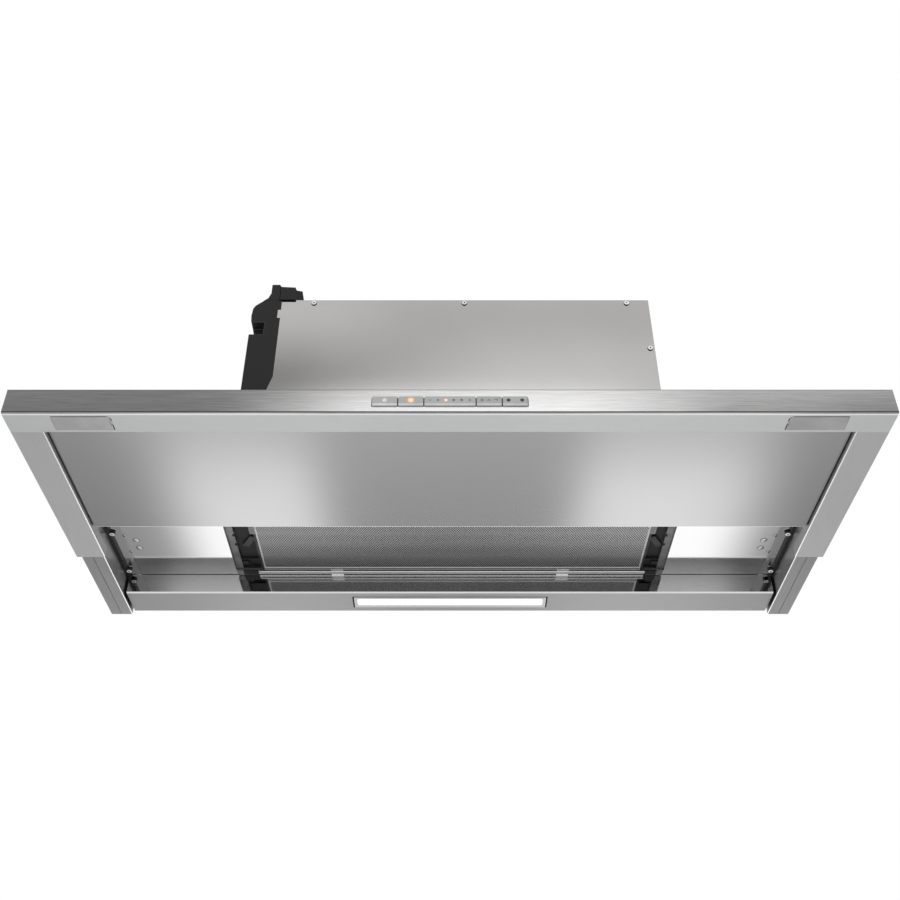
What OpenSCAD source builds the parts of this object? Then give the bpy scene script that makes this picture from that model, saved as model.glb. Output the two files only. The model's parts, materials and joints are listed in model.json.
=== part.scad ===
// Pull-out range hood for a wall cabinet, drawn with its screen pulled right out.
// The origin is the middle of the rear edge of the tray's top face, which hangs
// against the cabinet. +X is right seen from the front, +Y to the wall and +Z up.

/* [Overall] */
// Width of the fascia, the widest piece
hood_w = 895; // [880:1:900]
// Depth from the wall to the fascia with the screen pushed in
closed_depth = 280.5; // [276:0.5:290]
// How far the screen pulls out
travel = 148; // [130:1:152]
// Height from the underside to the face that hangs against the cabinet
seat_h = 34.5; // [34:0.5:38]
// Thickness of the folded sheet steel
sheet_t = 1.2; // [1:0.1:1.3]

/* [Screen] */
// Height of the fascia
fascia_h = 29.3; // [28:0.1:30]
// Depth of the fascia's top flange
fascia_flange_d = 24; // [20:1:26]
// Depth of the strip under the fascia
strip_d = 31.6; // [30:0.2:34]
// Width of a side bar, from the fascia's end to its inner lip
side_bar_w = 33.6; // [33.6:0.1:34]
// Height of a side bar's outer wall
side_bar_h = 28; // [24:1:29]
// Height of a side bar's inner lip
lip_h = 13; // [10:0.5:14]
// Height of the screen plate above the underside
screen_rise = 6.5; // [5:0.5:7]
// Distance from the fascia's face to the plate's rear edge
screen_reach = 223; // [215:1:224]
// Height of the plate's turned-up rim
screen_rim = 7; // [5:0.5:8]
// Gap between the plate's side and the lip
screen_gap = 1.4; // [1:0.1:2]
// Length of a corner cover
cover_w = 60; // [50:1:66]
// Depth of a corner cover
cover_d = 22; // [18:0.5:23]

/* [Controls] */
// Width of one key
key_pitch = 26.13; // [24:0.1:27]
// Height of the keys' front
key_h = 10.4; // [9:0.1:11]
// Height of the keys' lower edge above the underside
key_rise = 8.3; // [8:0.1:9]
// How far the keys stand out of the fascia
key_proud = 3; // [2:0.1:3.5]
// How far a key is pressed
key_travel = 1; // [0.8:0.1:1.1]

/* [Tray] */
// Depth of the tray from the wall
tray_depth = 250; // [246:1:252]
// Width of a side rail
rail_w = 27; // [26.8:0.1:27]
// Distance from the fascia's end to a rail's outer face
rail_inset = 5; // [4.5:0.1:5]
// Gap between the screen's underside and a rail's underside
rail_lift = 1.5; // [1.5:0.1:1.8]
// Width of the slot in a rail's underside
rail_slot_w = 2.2; // [2:0.1:3]
// Width of the intake opening
intake_w = 548; // [542:1:552]
// Depth of the intake opening
intake_d = 168.6; // [167:0.2:169]
// Distance from the wall to the intake opening
intake_rear = 57.2; // [56.5:0.1:57.5]
// Depth of the lamp bar across the rear
bar_d = 48.3; // [46:0.1:49]
// Height of the lamp bar's underside above the screen's underside
bar_rise = 6.5; // [6:0.5:8]
// Gap between the lamp bar's end and a rail
bar_gap = 2.1; // [2:0.1:3]
// Depth of the lamp bar's top flange, which bears against the cabinet
bar_flange_d = 20; // [12:1:21]

/* [Lamp] */
// Length of the lamp's bezel
lamp_w = 253; // [240:1:260]
// Depth of the lamp's bezel
lamp_d = 25.7; // [24:0.1:27]
// Width of the bezel's rim round the lit window
lamp_rim = 3.2; // [2.5:0.1:3.6]

/* [Filter] */
// Width of the filter cassette
filter_w = 480; // [476:1:482]
// Depth of the filter cassette
filter_d = 160; // [158:0.5:161]
// Thickness of the filter cassette
filter_t = 9; // [8:0.5:10]
// How far the cassette sits to the right of the middle
filter_shift = 3; // [0:0.5:4]

/* [Blower housing] */
// Height of the housing above the tray
house_h = 317; // [310:1:325]
// Depth of the housing
house_d = 200; // [198:1:201]
// Distance from the middle to the housing's right wall
house_right = 263.8; // [260:0.2:266]
// Distance from the middle to the housing's left wall
house_left = 223.7; // [220:0.1:226]
// Distance from the wall to the housing's rear
house_rear = 23.5; // [22:0.5:24]
// Height of the pan that lifts the housing over the filter
pan_h = 14; // [13:0.5:16]
// Width of the plastic casing at the housing's left end
casing_w = 38.6; // [36:0.2:42]
// Wall of the plastic casing
casing_t = 2.5; // [2:0.1:3]

/* [Blower] */
// Height of the impeller's axis above the tray
fan_z = 125; // [124:1:130]
// Distance from the wall to the impeller's axis
fan_y = 125; // [124.5:0.5:127]
// Radius of the impeller
fan_r = 65; // [60:0.5:66]
// Width of the impeller
fan_w = 132; // [120:1:134]
// Blades on the impeller
blade_n = 30; // [24:1:36]
// Radius of the motor
motor_r = 38; // [34:0.5:40]
// Length of the motor
motor_l = 46; // [40:1:48]
// Radius of the motor shaft
shaft_r = 4; // [3:0.5:5]

/* [Outlet] */
// Outer radius of the outlet collar
collar_r = 74.5; // [72:0.5:74.5]
// Height of the outlet collar
collar_h = 36.5; // [34:0.5:40]
// Distance from the wall to the collar's axis
collar_y = 108.5; // [106:0.5:110]
// Radius of the pin that carries the two flaps
flap_pin_r = 1.5; // [1.2:0.1:2]

/* [Slides] */
// Length of each slide member
slide_l = 240; // [230:1:240]
// Height of the fixed slide member
slide_h = 26; // [25.5:0.1:26.5]
// Thickness of the slide members
slide_t = 1.2; // [1:0.1:1.2]
// Radius of the balls in the slides
ball_r = 1.3; // [1.2:0.05:1.4]
// Balls in each row
ball_n = 6; // [4:1:8]

/* [Cabinet brackets] */
// Distance from the tray's end to a bracket's outer face
bracket_in = 10; // [8:0.5:16]
// Length of a bracket
bracket_l = 170; // [150:1:200]
// Height of a bracket
bracket_h = 90; // [70:1:110]
// Distance between screw holes along a bracket
bracket_pitch_y = 128; // [96:1:140]
// Distance between screw holes up a bracket
bracket_pitch_z = 32; // [25:1:50]
// Radius of a bracket's screw holes
bracket_hole_r = 2.6; // [2.2:0.1:3.5]

/* [Hidden] */
$fn = 48;

// One overrun for all cuts, and the usual clearances
over = 0.5;
seam = 0.3;
slip = 0.25;
fit = 0.05;
snug = 0.02;

// Both ends of a pitch, as shares of it
ends = [-0.5, 0.5];

// Places that many pieces share
front_y = -closed_depth - travel;
under_z = -seat_h;
half_w = hood_w / 2;
ceiling_z = -sheet_t;
rail_out = half_w - rail_inset;
rail_in = rail_out - rail_w;
rail_z = under_z + rail_lift;
slot_x = (rail_out + rail_in) / 2 + rail_slot_w / 5;
lip_x = half_w - side_bar_w;
screen_half = lip_x - screen_gap;
screen_z = under_z + screen_rise;
bar_half = rail_in - bar_gap;
bar_z = under_z + bar_rise;
house_front = -house_rear - house_d;
intake_front = -intake_rear - intake_d;
filter_rear_y = -intake_rear - 8 * seam;
filter_front_y = filter_rear_y - filter_d;

// A block between two values on each axis
module block(x, y, z) {
    translate([x[0], y[0], z[0]])
        cube([x[1] - x[0], y[1] - y[0], z[1] - z[0]]);
}

// The right-hand piece and its mirror image
module both_sides() {
    children();
    mirror([1, 0, 0]) children();
}

// Rods along X and along Y
module rod_x(r, x, y, z) {
    translate([x[0], y, z]) rotate([0, 90, 0]) cylinder(r = r, h = x[1] - x[0]);
}
module rod_y(r, x, y, z) {
    translate([x, y[1], z]) rotate([90, 0, 0]) cylinder(r = r, h = y[1] - y[0]);
}

// A pan-head screw whose head stands on z = 0 and whose shank goes down
screw_head_r = 3.2;
screw_head_h = 1.8;
screw_r = 2;
screw_l = 7;
screw_slot = 0.8;
module pan_screw() {
    difference() {
        union() {
            cylinder(r = screw_head_r, h = screw_head_h / 2);
            translate([0, 0, screw_head_h / 2])
                cylinder(r1 = screw_head_r, r2 = screw_head_r * 2 / 3, h = screw_head_h / 2);
            translate([0, 0, -screw_l]) cylinder(r = screw_r - fit, h = screw_l);
        }
        for (turn = [0, 90]) rotate([0, 0, turn])
            block([-screw_head_r / 2, screw_head_r / 2], [-screw_slot / 2, screw_slot / 2],
                [screw_head_h / 2, screw_head_h + over]);
    }
}

module short_screw(l) {
    intersection() {
        pan_screw();
        block([-screw_l, screw_l], [-screw_l, screw_l], [-l, screw_l]);
    }
}

// Ceiling plate of the tray, with the intake opening and a turned-down front edge
tray_lip = 11;
rivet_r = 2;
// Places of the rivets in from the rail and back from the tray's front
rivet_in = [18, 30, 30, 18];
rivet_back = [107, 117, 135, 144];
// Radius of their heads, as shares of the shank's
rivet_head_shares = [1.4, 2.2, 2.2, 1.4];
// Plastic strips along the rails, and their screws' places from the tray's rear edge
strip_rear = bar_d + slip;
strip_l = 118;
strip_w = 3.5;
strip_h = 7;
strip_ear_t = 1.5;
strip_screw_x = rail_in - 5;
strip_screw_back = [61.3, 150.6];
module ceiling_plate() {
    color("gainsboro") difference() {
        union() {
            block([-rail_out, rail_out], [-tray_depth, 0], [ceiling_z, 0]);
            block([-bar_half, bar_half], [-tray_depth, sheet_t - tray_depth],
                [ceiling_z - tray_lip, 0]);
        }
        block([-intake_w / 2, intake_w / 2], [intake_front, -intake_rear],
            [ceiling_z - over, over]);
        // a recess at the rear, filled by the lamp bar's flange
        block([-bar_half - seam, bar_half + seam], [-bar_flange_d - seam, over],
            [ceiling_z - over, over]);
        both_sides() for (i = [0:3])
            translate([rail_in - rivet_in[i], rivet_back[i] - tray_depth, ceiling_z - over])
                cylinder(r = rivet_r, h = sheet_t + 2 * over);
        both_sides() for (back = strip_screw_back)
            translate([strip_screw_x, -back, ceiling_z - over])
                cylinder(r = screw_r, h = sheet_t + 2 * over);
    }
}

// Side rail: a box with a slot along its underside, closed at its rear end
module rail_body() {
    color("silver") difference() {
        block([rail_in, rail_out], [-tray_depth, 0], [rail_z, ceiling_z]);
        block([rail_in + sheet_t, rail_out - sheet_t], [-tray_depth - over, -sheet_t],
            [rail_z + sheet_t, ceiling_z - sheet_t]);
        block([slot_x - rail_slot_w / 2, slot_x + rail_slot_w / 2],
            [-tray_depth - over, -sheet_t], [rail_z - over, rail_z + 2 * sheet_t]);
    }
}
module right_rail() { rail_body(); }
module left_rail() { mirror([1, 0, 0]) rail_body(); }

// Lamp bar: a folded channel under the ceiling plate, with a cut-out for the lamp.
// Its top flange lies level with the tray's top face.
lamp_y = -bar_d / 2 + lamp_d / 40;
lamp_fit_w = lamp_w - 2 * lamp_rim;
lamp_fit_d = lamp_d - 2 * lamp_rim;
module lamp_bar() {
    color("silver") difference() {
        union() {
            block([-bar_half, bar_half], [-bar_d, 0], [bar_z, ceiling_z]);
            block([-bar_half, bar_half], [-bar_flange_d, 0], [ceiling_z, 0]);
        }
        block([-bar_half - over, bar_half + over], [sheet_t - bar_d, -sheet_t],
            [bar_z + sheet_t, ceiling_z]);
        block([-bar_half - over, bar_half + over], [sheet_t - bar_d, -bar_flange_d],
            [ceiling_z - over, over]);
        block([-lamp_fit_w / 2 - slip, lamp_fit_w / 2 + slip],
            [lamp_y - lamp_fit_d / 2 - slip, lamp_y + lamp_fit_d / 2 + slip],
            [bar_z - over, bar_z + 2 * sheet_t]);
    }
}

// Lamp: a housing over the cut-out, its board, the diffuser and the bezel
lamp_wall = 1.6;
lamp_h = 16;
bezel_t = 0.8;
bezel_end = 3.8;
diffuser_t = 2;
led_n = 12;
led_size = 3.5;
led_board_t = 1.6;
led_board_rise = 11;
lamp_corner = 3;
module lit_slab(w, d, z) {
    // a bar with rounded corners
    r = lamp_corner;
    block([r - w / 2, w / 2 - r], [lamp_y - d / 2, lamp_y + d / 2], z);
    block([-w / 2, w / 2], [lamp_y - d / 2 + r, lamp_y + d / 2 - r], z);
    both_sides() for (m = [-1, 1])
        translate([w / 2 - r, lamp_y + m * (d / 2 - r), z[0]]) cylinder(r = r, h = z[1] - z[0]);
}
module lamp_housing() {
    flange = lamp_rim + lamp_wall;
    color("whitesmoke") difference() {
        union() {
            block([-lamp_fit_w / 2 - lamp_wall, lamp_fit_w / 2 + lamp_wall],
                [lamp_y - lamp_fit_d / 2 - lamp_wall, lamp_y + lamp_fit_d / 2 + lamp_wall],
                [bar_z + sheet_t, bar_z + sheet_t + lamp_h]);
            block([-lamp_fit_w / 2 - flange, lamp_fit_w / 2 + flange],
                [lamp_y - lamp_fit_d / 2 - flange, lamp_y + lamp_fit_d / 2 + flange],
                [bar_z + sheet_t, bar_z + 2 * sheet_t]);
        }
        block([-lamp_fit_w / 2, lamp_fit_w / 2],
            [lamp_y - lamp_fit_d / 2, lamp_y + lamp_fit_d / 2],
            [bar_z, bar_z + sheet_t + lamp_h - lamp_wall]);
    }
}
module led_board() {
    z = bar_z + sheet_t + led_board_rise;
    color("white") {
        block([slip - lamp_fit_w / 2, lamp_fit_w / 2 - slip],
            [lamp_y - lamp_fit_d / 2 + slip, lamp_y + lamp_fit_d / 2 - slip],
            [z, z + led_board_t]);
        for (i = [0:led_n - 1])
            translate([(i + 0.5) * lamp_fit_w / led_n - lamp_fit_w / 2, lamp_y, z - led_size / 4])
                cube([led_size, led_size, led_size / 2], center = true);
    }
}
module lamp_diffuser() {
    d = lamp_fit_d - 2 * slip;
    color("ivory") lit_slab(lamp_fit_w - 2 * slip, d, [bar_z, bar_z + diffuser_t]);
}
module lamp_bezel() {
    color("lightgrey") difference() {
        block([-lamp_w / 2, lamp_w / 2], [lamp_y - lamp_d / 2, lamp_y + lamp_d / 2],
            [bar_z - bezel_t, bar_z]);
        lit_slab(lamp_fit_w - 2 * bezel_end, lamp_fit_d - seam,
            [bar_z - bezel_t - over, bar_z + over]);
    }
}

// Plastic strips in the corner between ceiling and rail, each held by a thin ear at two screws
module guide_strips() {
    color("dimgray") both_sides() difference() {
        union() {
            block([rail_in - strip_w, rail_in], [-strip_rear - strip_l, -strip_rear],
                [ceiling_z - strip_h, ceiling_z]);
            for (back = strip_screw_back) {
                block([strip_screw_x, rail_in], [-back - screw_head_r, -back + screw_head_r],
                    [ceiling_z - strip_ear_t, ceiling_z]);
                translate([strip_screw_x, -back, ceiling_z - strip_ear_t])
                    cylinder(r = screw_head_r, h = strip_ear_t);
            }
        }
        for (back = strip_screw_back) {
            // room for the head, and a hole for the shank
            translate([strip_screw_x, -back, ceiling_z - strip_h - over])
                cylinder(r = screw_head_r + fit, h = strip_h + over - strip_ear_t);
            translate([strip_screw_x, -back, ceiling_z - strip_h])
                cylinder(r = screw_r, h = strip_h + over);
        }
    }
}
module ceiling_rivets() {
    // two with wide heads and two hollow ones a side
    color("silver") both_sides() for (i = [0:3]) let (head_r = rivet_r * rivet_head_shares[i])
        translate([rail_in - rivet_in[i], rivet_back[i] - tray_depth, ceiling_z]) difference() {
            union() {
                cylinder(r = rivet_r - snug, h = sheet_t);
                translate([0, 0, -rivet_r / 2])
                    cylinder(r1 = head_r * 2 / 3, r2 = head_r, h = rivet_r / 2);
            }
            if (head_r < 2 * rivet_r) translate([0, 0, -rivet_r])
                cylinder(r = rivet_r / 2, h = rivet_r + sheet_t / 2);
        }
}

// Angle brackets on the tray that screw to the cabinet's side walls
bracket_t = 2;
bracket_foot = 24;
bracket_y = -tray_depth / 2;
bracket_x = rail_out - bracket_in;
module cabinet_brackets() {
    face = bracket_x;
    color("darkgray") both_sides() difference() {
        union() {
            block([face - bracket_t, face], [bracket_y - bracket_l / 2, bracket_y + bracket_l / 2],
                [0, bracket_h]);
            block([face - bracket_foot, face],
                [bracket_y - bracket_l / 2, bracket_y + bracket_l / 2], [0, bracket_t]);
        }
        for (y = ends, z = ends)
            rod_x(bracket_hole_r, [face - bracket_t - over, face + over],
                bracket_y + y * bracket_pitch_y, bracket_h / 2 + z * bracket_pitch_z);
        for (y = ends)
            translate([face - bracket_foot / 2, bracket_y + y * bracket_pitch_y, -over])
                cylinder(r = screw_r, h = bracket_t + 2 * over);
    }
}

// Raised pan over the filter, which carries the blower housing
pan_flange = 16;
deck_rim = 24;
module housing_base() {
    t = sheet_t;
    wall_x = intake_w / 2 + t;
    color("lightslategray") difference() {
        union() {
            block([-wall_x - pan_flange, wall_x + pan_flange],
                [intake_front - pan_flange, pan_flange - intake_rear], [0, t]);
            block([-wall_x, wall_x], [intake_front - t, t - intake_rear], [0, pan_h]);
            block([-wall_x, wall_x], [min(intake_front - t, house_front), -house_rear],
                [pan_h - t, pan_h]);
        }
        block([-intake_w / 2, intake_w / 2], [intake_front, -intake_rear], [-over, pan_h - t]);
        block([deck_rim - intake_w / 2, intake_w / 2 - deck_rim],
            [intake_front + deck_rim / 4, -intake_rear - deck_rim / 4], [0, pan_h + over]);
    }
}

// Front plate of the blower housing, with a tab that laps over the casing
plate_step_w = 18.7;
plate_step_h = 3.4;
tab_reach = 4;
tab_top = 17.5;
tab_h = 14.5;
plate_toe_h = 150;
plate_toe_w = 10;
plate_toe_rise = 35;
screw_x_shares = [0.095, 0.505, 0.94];
side_screw_drop = 85.5;
screw_edge = 6;
function plate_screws() = concat(
    [for (s = screw_x_shares) [s * (house_left + house_right) - house_left, house_h - screw_edge]],
    [[house_right - screw_edge, house_h - side_screw_drop],
     [house_right - screw_edge, pan_h + side_screw_drop],
     [screw_edge - house_left, pan_h + side_screw_drop]]);
module plate_outline() {
    polygon([[house_right, pan_h], [house_right, house_h], [plate_step_w - house_left, house_h],
        [plate_step_w - house_left, house_h - plate_step_h], [-house_left, house_h - plate_step_h],
        [-house_left, house_h - tab_top], [-house_left - tab_reach, house_h - tab_top],
        [-house_left - tab_reach, house_h - tab_top - tab_h],
        [-house_left, house_h - tab_top - tab_h], [-house_left, plate_toe_h + plate_toe_rise],
        [-house_left - plate_toe_w, plate_toe_h], [-house_left - plate_toe_w, pan_h]]);
}
module housing_front() {
    color("silver") difference() {
        translate([0, house_front + sheet_t, 0]) rotate([90, 0, 0])
            linear_extrude(sheet_t) plate_outline();
        for (p = plate_screws())
            rod_y(screw_r, p[0], [house_front - over, house_front + sheet_t + over], p[1]);
    }
}

// Side walls and rear of the blower housing in one folded sheet
shell_flange = 12;
shell_y = house_front + sheet_t;
module step_notch() {
    // clear behind the front plate's step, where the casing's terminal box reaches over
    block([-house_left - over, plate_step_w - house_left], [shell_y - over, shell_y + shell_flange / 2],
        [house_h - plate_step_h, house_h + over]);
}
module screw_holes() {
    for (p = plate_screws()) rod_y(screw_r, p[0], [shell_y - over, shell_y + sheet_t + over], p[1]);
}
module housing_shell() {
    t = sheet_t;
    color("lightsteelblue") difference() {
        block([-house_left, house_right], [shell_y, -house_rear], [pan_h, house_h - t]);
        block([t - house_left, house_right - t], [shell_y + t, -house_rear - t],
            [pan_h - over, house_h]);
        block([shell_flange - house_left, house_right - shell_flange],
            [shell_y - over, shell_y + 2 * t], [pan_h - over, house_h]);
        step_notch();
        screw_holes();
    }
}

// Top of the blower housing, with the outlet and a turned-down front edge
module housing_top() {
    t = sheet_t;
    color("lightblue") difference() {
        union() {
            block([-house_left, house_right], [shell_y, -house_rear], [house_h - t, house_h]);
            block([shell_flange - house_left + seam, house_right - shell_flange - seam],
                [shell_y, shell_y + t], [house_h - shell_flange, house_h - t]);
        }
        translate([0, -collar_y, house_h - t - over])
            cylinder(r = collar_r - collar_t, h = t + 2 * over, $fn = 96);
        step_notch();
        screw_holes();
    }
}

// The same pan-head screw holds the front plate, the strips and the brackets
module pan_head_screws() {
    face = bracket_x - bracket_foot / 2;
    color("white") {
        for (p = plate_screws())
            translate([p[0], house_front, p[1]]) rotate([90, 0, 0]) pan_screw();
        both_sides() {
            // these shanks end at the tray's top face
            for (back = strip_screw_back)
                translate([strip_screw_x, -back, ceiling_z - strip_ear_t]) rotate([180, 0, 0])
                    short_screw(strip_ear_t + sheet_t);
            for (y = ends)
                translate([face, bracket_y + y * bracket_pitch_y, bracket_t])
                    short_screw(bracket_t);
        }
    }
}

// Plastic casing at the left end: a moulded outline as shares of its width and of the
// housing's height. Its terminal box stands on top and reaches over the housing.
casing_shares = [[1, 0], [1, 0.808], [0.885, 0.812], [0.89, 0.831], [0.98, 0.882], [1, 0.912],
    [0.97, 0.955], [0.885, 0.974], [0.646, 1], [0, 1], [0, 0]];
box_shares = [[0.646, 1], [0.49, 1.017], [0.41, 1.044], [0.41, 1.094], [0.14, 1.094],
    [0.08, 1.082], [-0.41, 1.078], [-0.465, 1.06], [-0.67, 1.055], [-0.75, 1]];
casing_back = 8;
casing_d = house_d - casing_back;
casing_front = house_front + sheet_t;
bump_d = 80;
notch_w_share = 0.48;
notch_low_share = 0.812;
notch_high_share = 0.878;
notch_d = 14;
loft_in = 12.5;
chamber_share = 0.4;
chamber_h = 17.4;
gland_rise = 12.7;
module casing_slab(shares, d) {
    // the outline drawn from the front and d deep
    translate([0, casing_front + d, 0]) rotate([90, 0, 0]) linear_extrude(d)
        polygon([for (p = shares)
            [-house_left - p[0] * casing_w, p[1] * house_h + (1 - min(p[1], 1)) * pan_h]]);
}
module end_casing() {
    x0 = -house_left - casing_w;
    rear = casing_front + casing_d - casing_t;
    low = notch_low_share * house_h;
    color("dimgray") difference() {
        casing_slab(casing_shares, casing_d);
        // the chamber for the electronics, closed by the housing's side wall
        block([x0 + casing_t, -house_left + over], [casing_front + casing_t, rear],
            [pan_h + casing_t, low - 2 * casing_t]);
        // its narrower upper end, behind the notch
        block([x0 + loft_in, -house_left + over], [casing_front + notch_d + casing_t, rear],
            [low - 2 * casing_t - over, house_h - 2 * casing_t]);
        // a square notch in the outer wall
        block([x0 - over, x0 + notch_w_share * casing_w],
            [casing_front - over, casing_front + notch_d], [low, notch_high_share * house_h]);
    }
}
module terminal_box() {
    y = casing_front + bump_d;
    color("gray") difference() {
        casing_slab(box_shares, bump_d);
        block([casing_t - house_left - casing_w * chamber_share, casing_w / 2 - house_left],
            [casing_front + casing_t, y - casing_t], [house_h + casing_t, house_h + chamber_h]);
        rod_y(gland_bore_r, gland_x, [y - 2 * casing_t, y + over], house_h + gland_rise);
    }
}

// Electronics inside the casing
board_w = 140;
board_h = 160;
board_t = 1.6;
board_rise = 34;
board_off = 12;
standoff_r = 3;
standoff_shares = [0.1, 0.9];
relay = 10;
relay_n = 3;
transformer = 50;
module control_board() {
    x = -house_left - board_off;
    y = casing_front + 4 * casing_t;
    z = pan_h + board_rise;
    color("seagreen") {
        block([x - board_t, x], [y, y + board_w], [z, z + board_h]);
        for (dy = standoff_shares, dz = standoff_shares)
            rod_x(standoff_r, [x, -house_left], y + dy * board_w, z + dz * board_h);
        for (i = [0:relay_n - 1])
            block([x - board_t - relay, x - board_t],
                [y + (2 * i + 1) * relay, y + (2 * i + 5 / 2) * relay],
                [z + board_h / 2, z + board_h / 2 + 2 * relay]);
        // the supply's transformer
        block([x - board_t - 2 * relay, x - board_t],
            [y + board_w - transformer, y + board_w - relay],
            [z + 2 * relay, z + transformer]);
    }
}
terminal_w = 24;
terminal_h = 12;
module terminal_block() {
    x0 = -house_left - casing_w * chamber_share + 2 * casing_t;
    y0 = casing_front + 2 * casing_t;
    z0 = house_h + casing_t;
    color("ivory") difference() {
        block([x0, x0 + terminal_w], [y0, y0 + terminal_w], [z0, z0 + terminal_h]);
        for (i = [0:2])
            translate([x0 + (i + 0.5) * terminal_w / 3, y0 + terminal_w / 2, z0 + terminal_h / 3])
                cylinder(r = screw_r, h = terminal_h);
    }
}
capacitor_r = 14;
capacitor_l = 48;
module capacitor() {
    // it lies on the chamber's floor, behind the board
    color("white") rod_y(capacitor_r, -house_left - capacitor_r - casing_t,
        [casing_front + 6 * casing_t, casing_front + 6 * casing_t + capacitor_l],
        pan_h + casing_t + capacitor_r);
}

// Cable gland on the rear of the terminal box
gland_in = 4.6;
gland_x = gland_in - house_left;
gland_bore_r = 4;
gland_l = 22;
gland_nut_r = 7.5;
gland_nut_l = 7;
gland_body_share = 0.8;
module cable_gland() {
    y = casing_front + bump_d;
    z = house_h + gland_rise;
    color("black") difference() {
        union() {
            rod_y(gland_nut_r, gland_x, [y, y + gland_nut_l], z);
            rod_y(gland_nut_r * gland_body_share, gland_x, [y + gland_nut_l, y + gland_l], z);
        }
        rod_y(gland_bore_r, gland_x, [y - over, y + gland_l + over], z);
    }
}

// Blower scroll: a spiral that opens into a straight outlet under the collar
scroll_gap = 7;
scroll_grow = 26;
scroll_t = 2;
scroll_half = 76;
tongue_a = 50;
spiral_steps = 30;
inlet_r = 52;
outlet_front = 182;
outlet_rear = 27;
function spiral(grow) = [for (i = [0:spiral_steps])
    let (a = tongue_a + (360 - tongue_a) * i / spiral_steps,
         r = fan_r + scroll_gap + grow + scroll_grow * i / spiral_steps)
    [r * cos(a) - fan_y, r * sin(a) + fan_z]];
module scroll_outline(grow) {
    rear = fan_r + scroll_gap + scroll_grow + grow - fan_y;
    top = house_h - sheet_t;
    polygon(concat(spiral(grow), [[rear, top], [-outlet_front - grow, top]]));
}
module scroll_half_body() {
    color("slategray") difference() {
        rotate([90, 0, 90]) linear_extrude(scroll_half + scroll_t) scroll_outline(scroll_t);
        rotate([90, 0, 90]) translate([0, 0, -over])
            linear_extrude(scroll_half + over) scroll_outline(0);
        block([-over, scroll_half], [-outlet_front, -outlet_rear], [house_h - 2 * over, house_h]);
        rod_x(inlet_r, [scroll_half - over, scroll_half + scroll_t + over], -fan_y, fan_z);
    }
}
module scroll_right() { scroll_half_body(); }
module scroll_left() { mirror([1, 0, 0]) scroll_half_body(); }

// Motor inside the left inlet, held by a three-armed bracket
hub_half = 15;
motor_end = -hub_half - 2 * seam;
bracket_ring = 6;
bracket_plate_t = 3;
arm_w = 12;
motor_cap_share = 0.15;
motor_neck_share = 0.6;
module motor_body() {
    cap = motor_l * motor_cap_share;
    color("dimgray") difference() {
        union() {
            rod_x(motor_r, [motor_end - motor_l, motor_end - cap], -fan_y, fan_z);
            rod_x(motor_r * motor_neck_share, [motor_end - cap, motor_end], -fan_y, fan_z);
            rod_x(motor_r / 2, [-scroll_half - scroll_t, motor_end - motor_l], -fan_y, fan_z);
        }
        rod_x(shaft_r + fit, [-scroll_half - scroll_t - over, motor_end + over], -fan_y, fan_z);
    }
}
module motor_bracket() {
    x0 = -scroll_half - scroll_t - bracket_plate_t;
    x1 = -scroll_half - scroll_t;
    color("gray") difference() {
        union() {
            difference() {
                rod_x(inlet_r + bracket_ring, [x0, x1], -fan_y, fan_z);
                rod_x(inlet_r, [x0 - over, x1 + over], -fan_y, fan_z);
            }
            rod_x(motor_r * motor_neck_share, [x0, x1], -fan_y, fan_z);
            for (a = [90, 210, 330]) translate([0, -fan_y, fan_z]) rotate([a, 0, 0])
                block([x0, x1], [-arm_w / 2, arm_w / 2], [motor_r / 2, inlet_r + bracket_ring / 2]);
        }
        rod_x(shaft_r * 2, [x0 - over, x1 + over], -fan_y, fan_z);
    }
}
module motor_shaft() {
    color("lightgray") rod_x(shaft_r, [-scroll_half - scroll_t, hub_half + shaft_r], -fan_y, fan_z);
}

// Double-inlet impeller: a middle disc with curved blades and two end rings
disc_t = 2;
ring_w = 5;
blade_d = 12;
blade_t = 1;
blade_lean = 25;
module blade_outline() {
    // a forward-curved blade between the inner and the outer radius
    steps = 4;
    r0 = fan_r - blade_d;
    function along(i, side) =
        let (s = i / steps, r = r0 + s * (blade_d - ring_w / 5), a = blade_lean * s * s + side)
        [r * cos(a), r * sin(a)];
    half_a = blade_t / fan_r * 90 / PI;
    polygon(concat([for (i = [0:steps]) along(i, -half_a)],
        [for (i = [steps:-1:0]) along(i, half_a)]));
}
module impeller() {
    color("gray") difference() {
        union() {
            rod_x(fan_r, [-disc_t / 2, disc_t / 2], -fan_y, fan_z);
            rod_x(shaft_r * 3, [-hub_half, hub_half], -fan_y, fan_z);
            translate([-fan_w / 2, -fan_y, fan_z]) rotate([90, 0, 90])
                for (i = [0:blade_n - 1]) rotate([0, 0, i * 360 / blade_n])
                    linear_extrude(fan_w) blade_outline();
            for (x = [-fan_w / 2, fan_w / 2 - disc_t]) difference() {
                rod_x(fan_r, [x, x + disc_t], -fan_y, fan_z);
                rod_x(fan_r - ring_w, [x - over, x + disc_t + over], -fan_y, fan_z);
            }
        }
        rod_x(shaft_r + snug, [-hub_half - over, hub_half + over], -fan_y, fan_z);
    }
}

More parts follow.
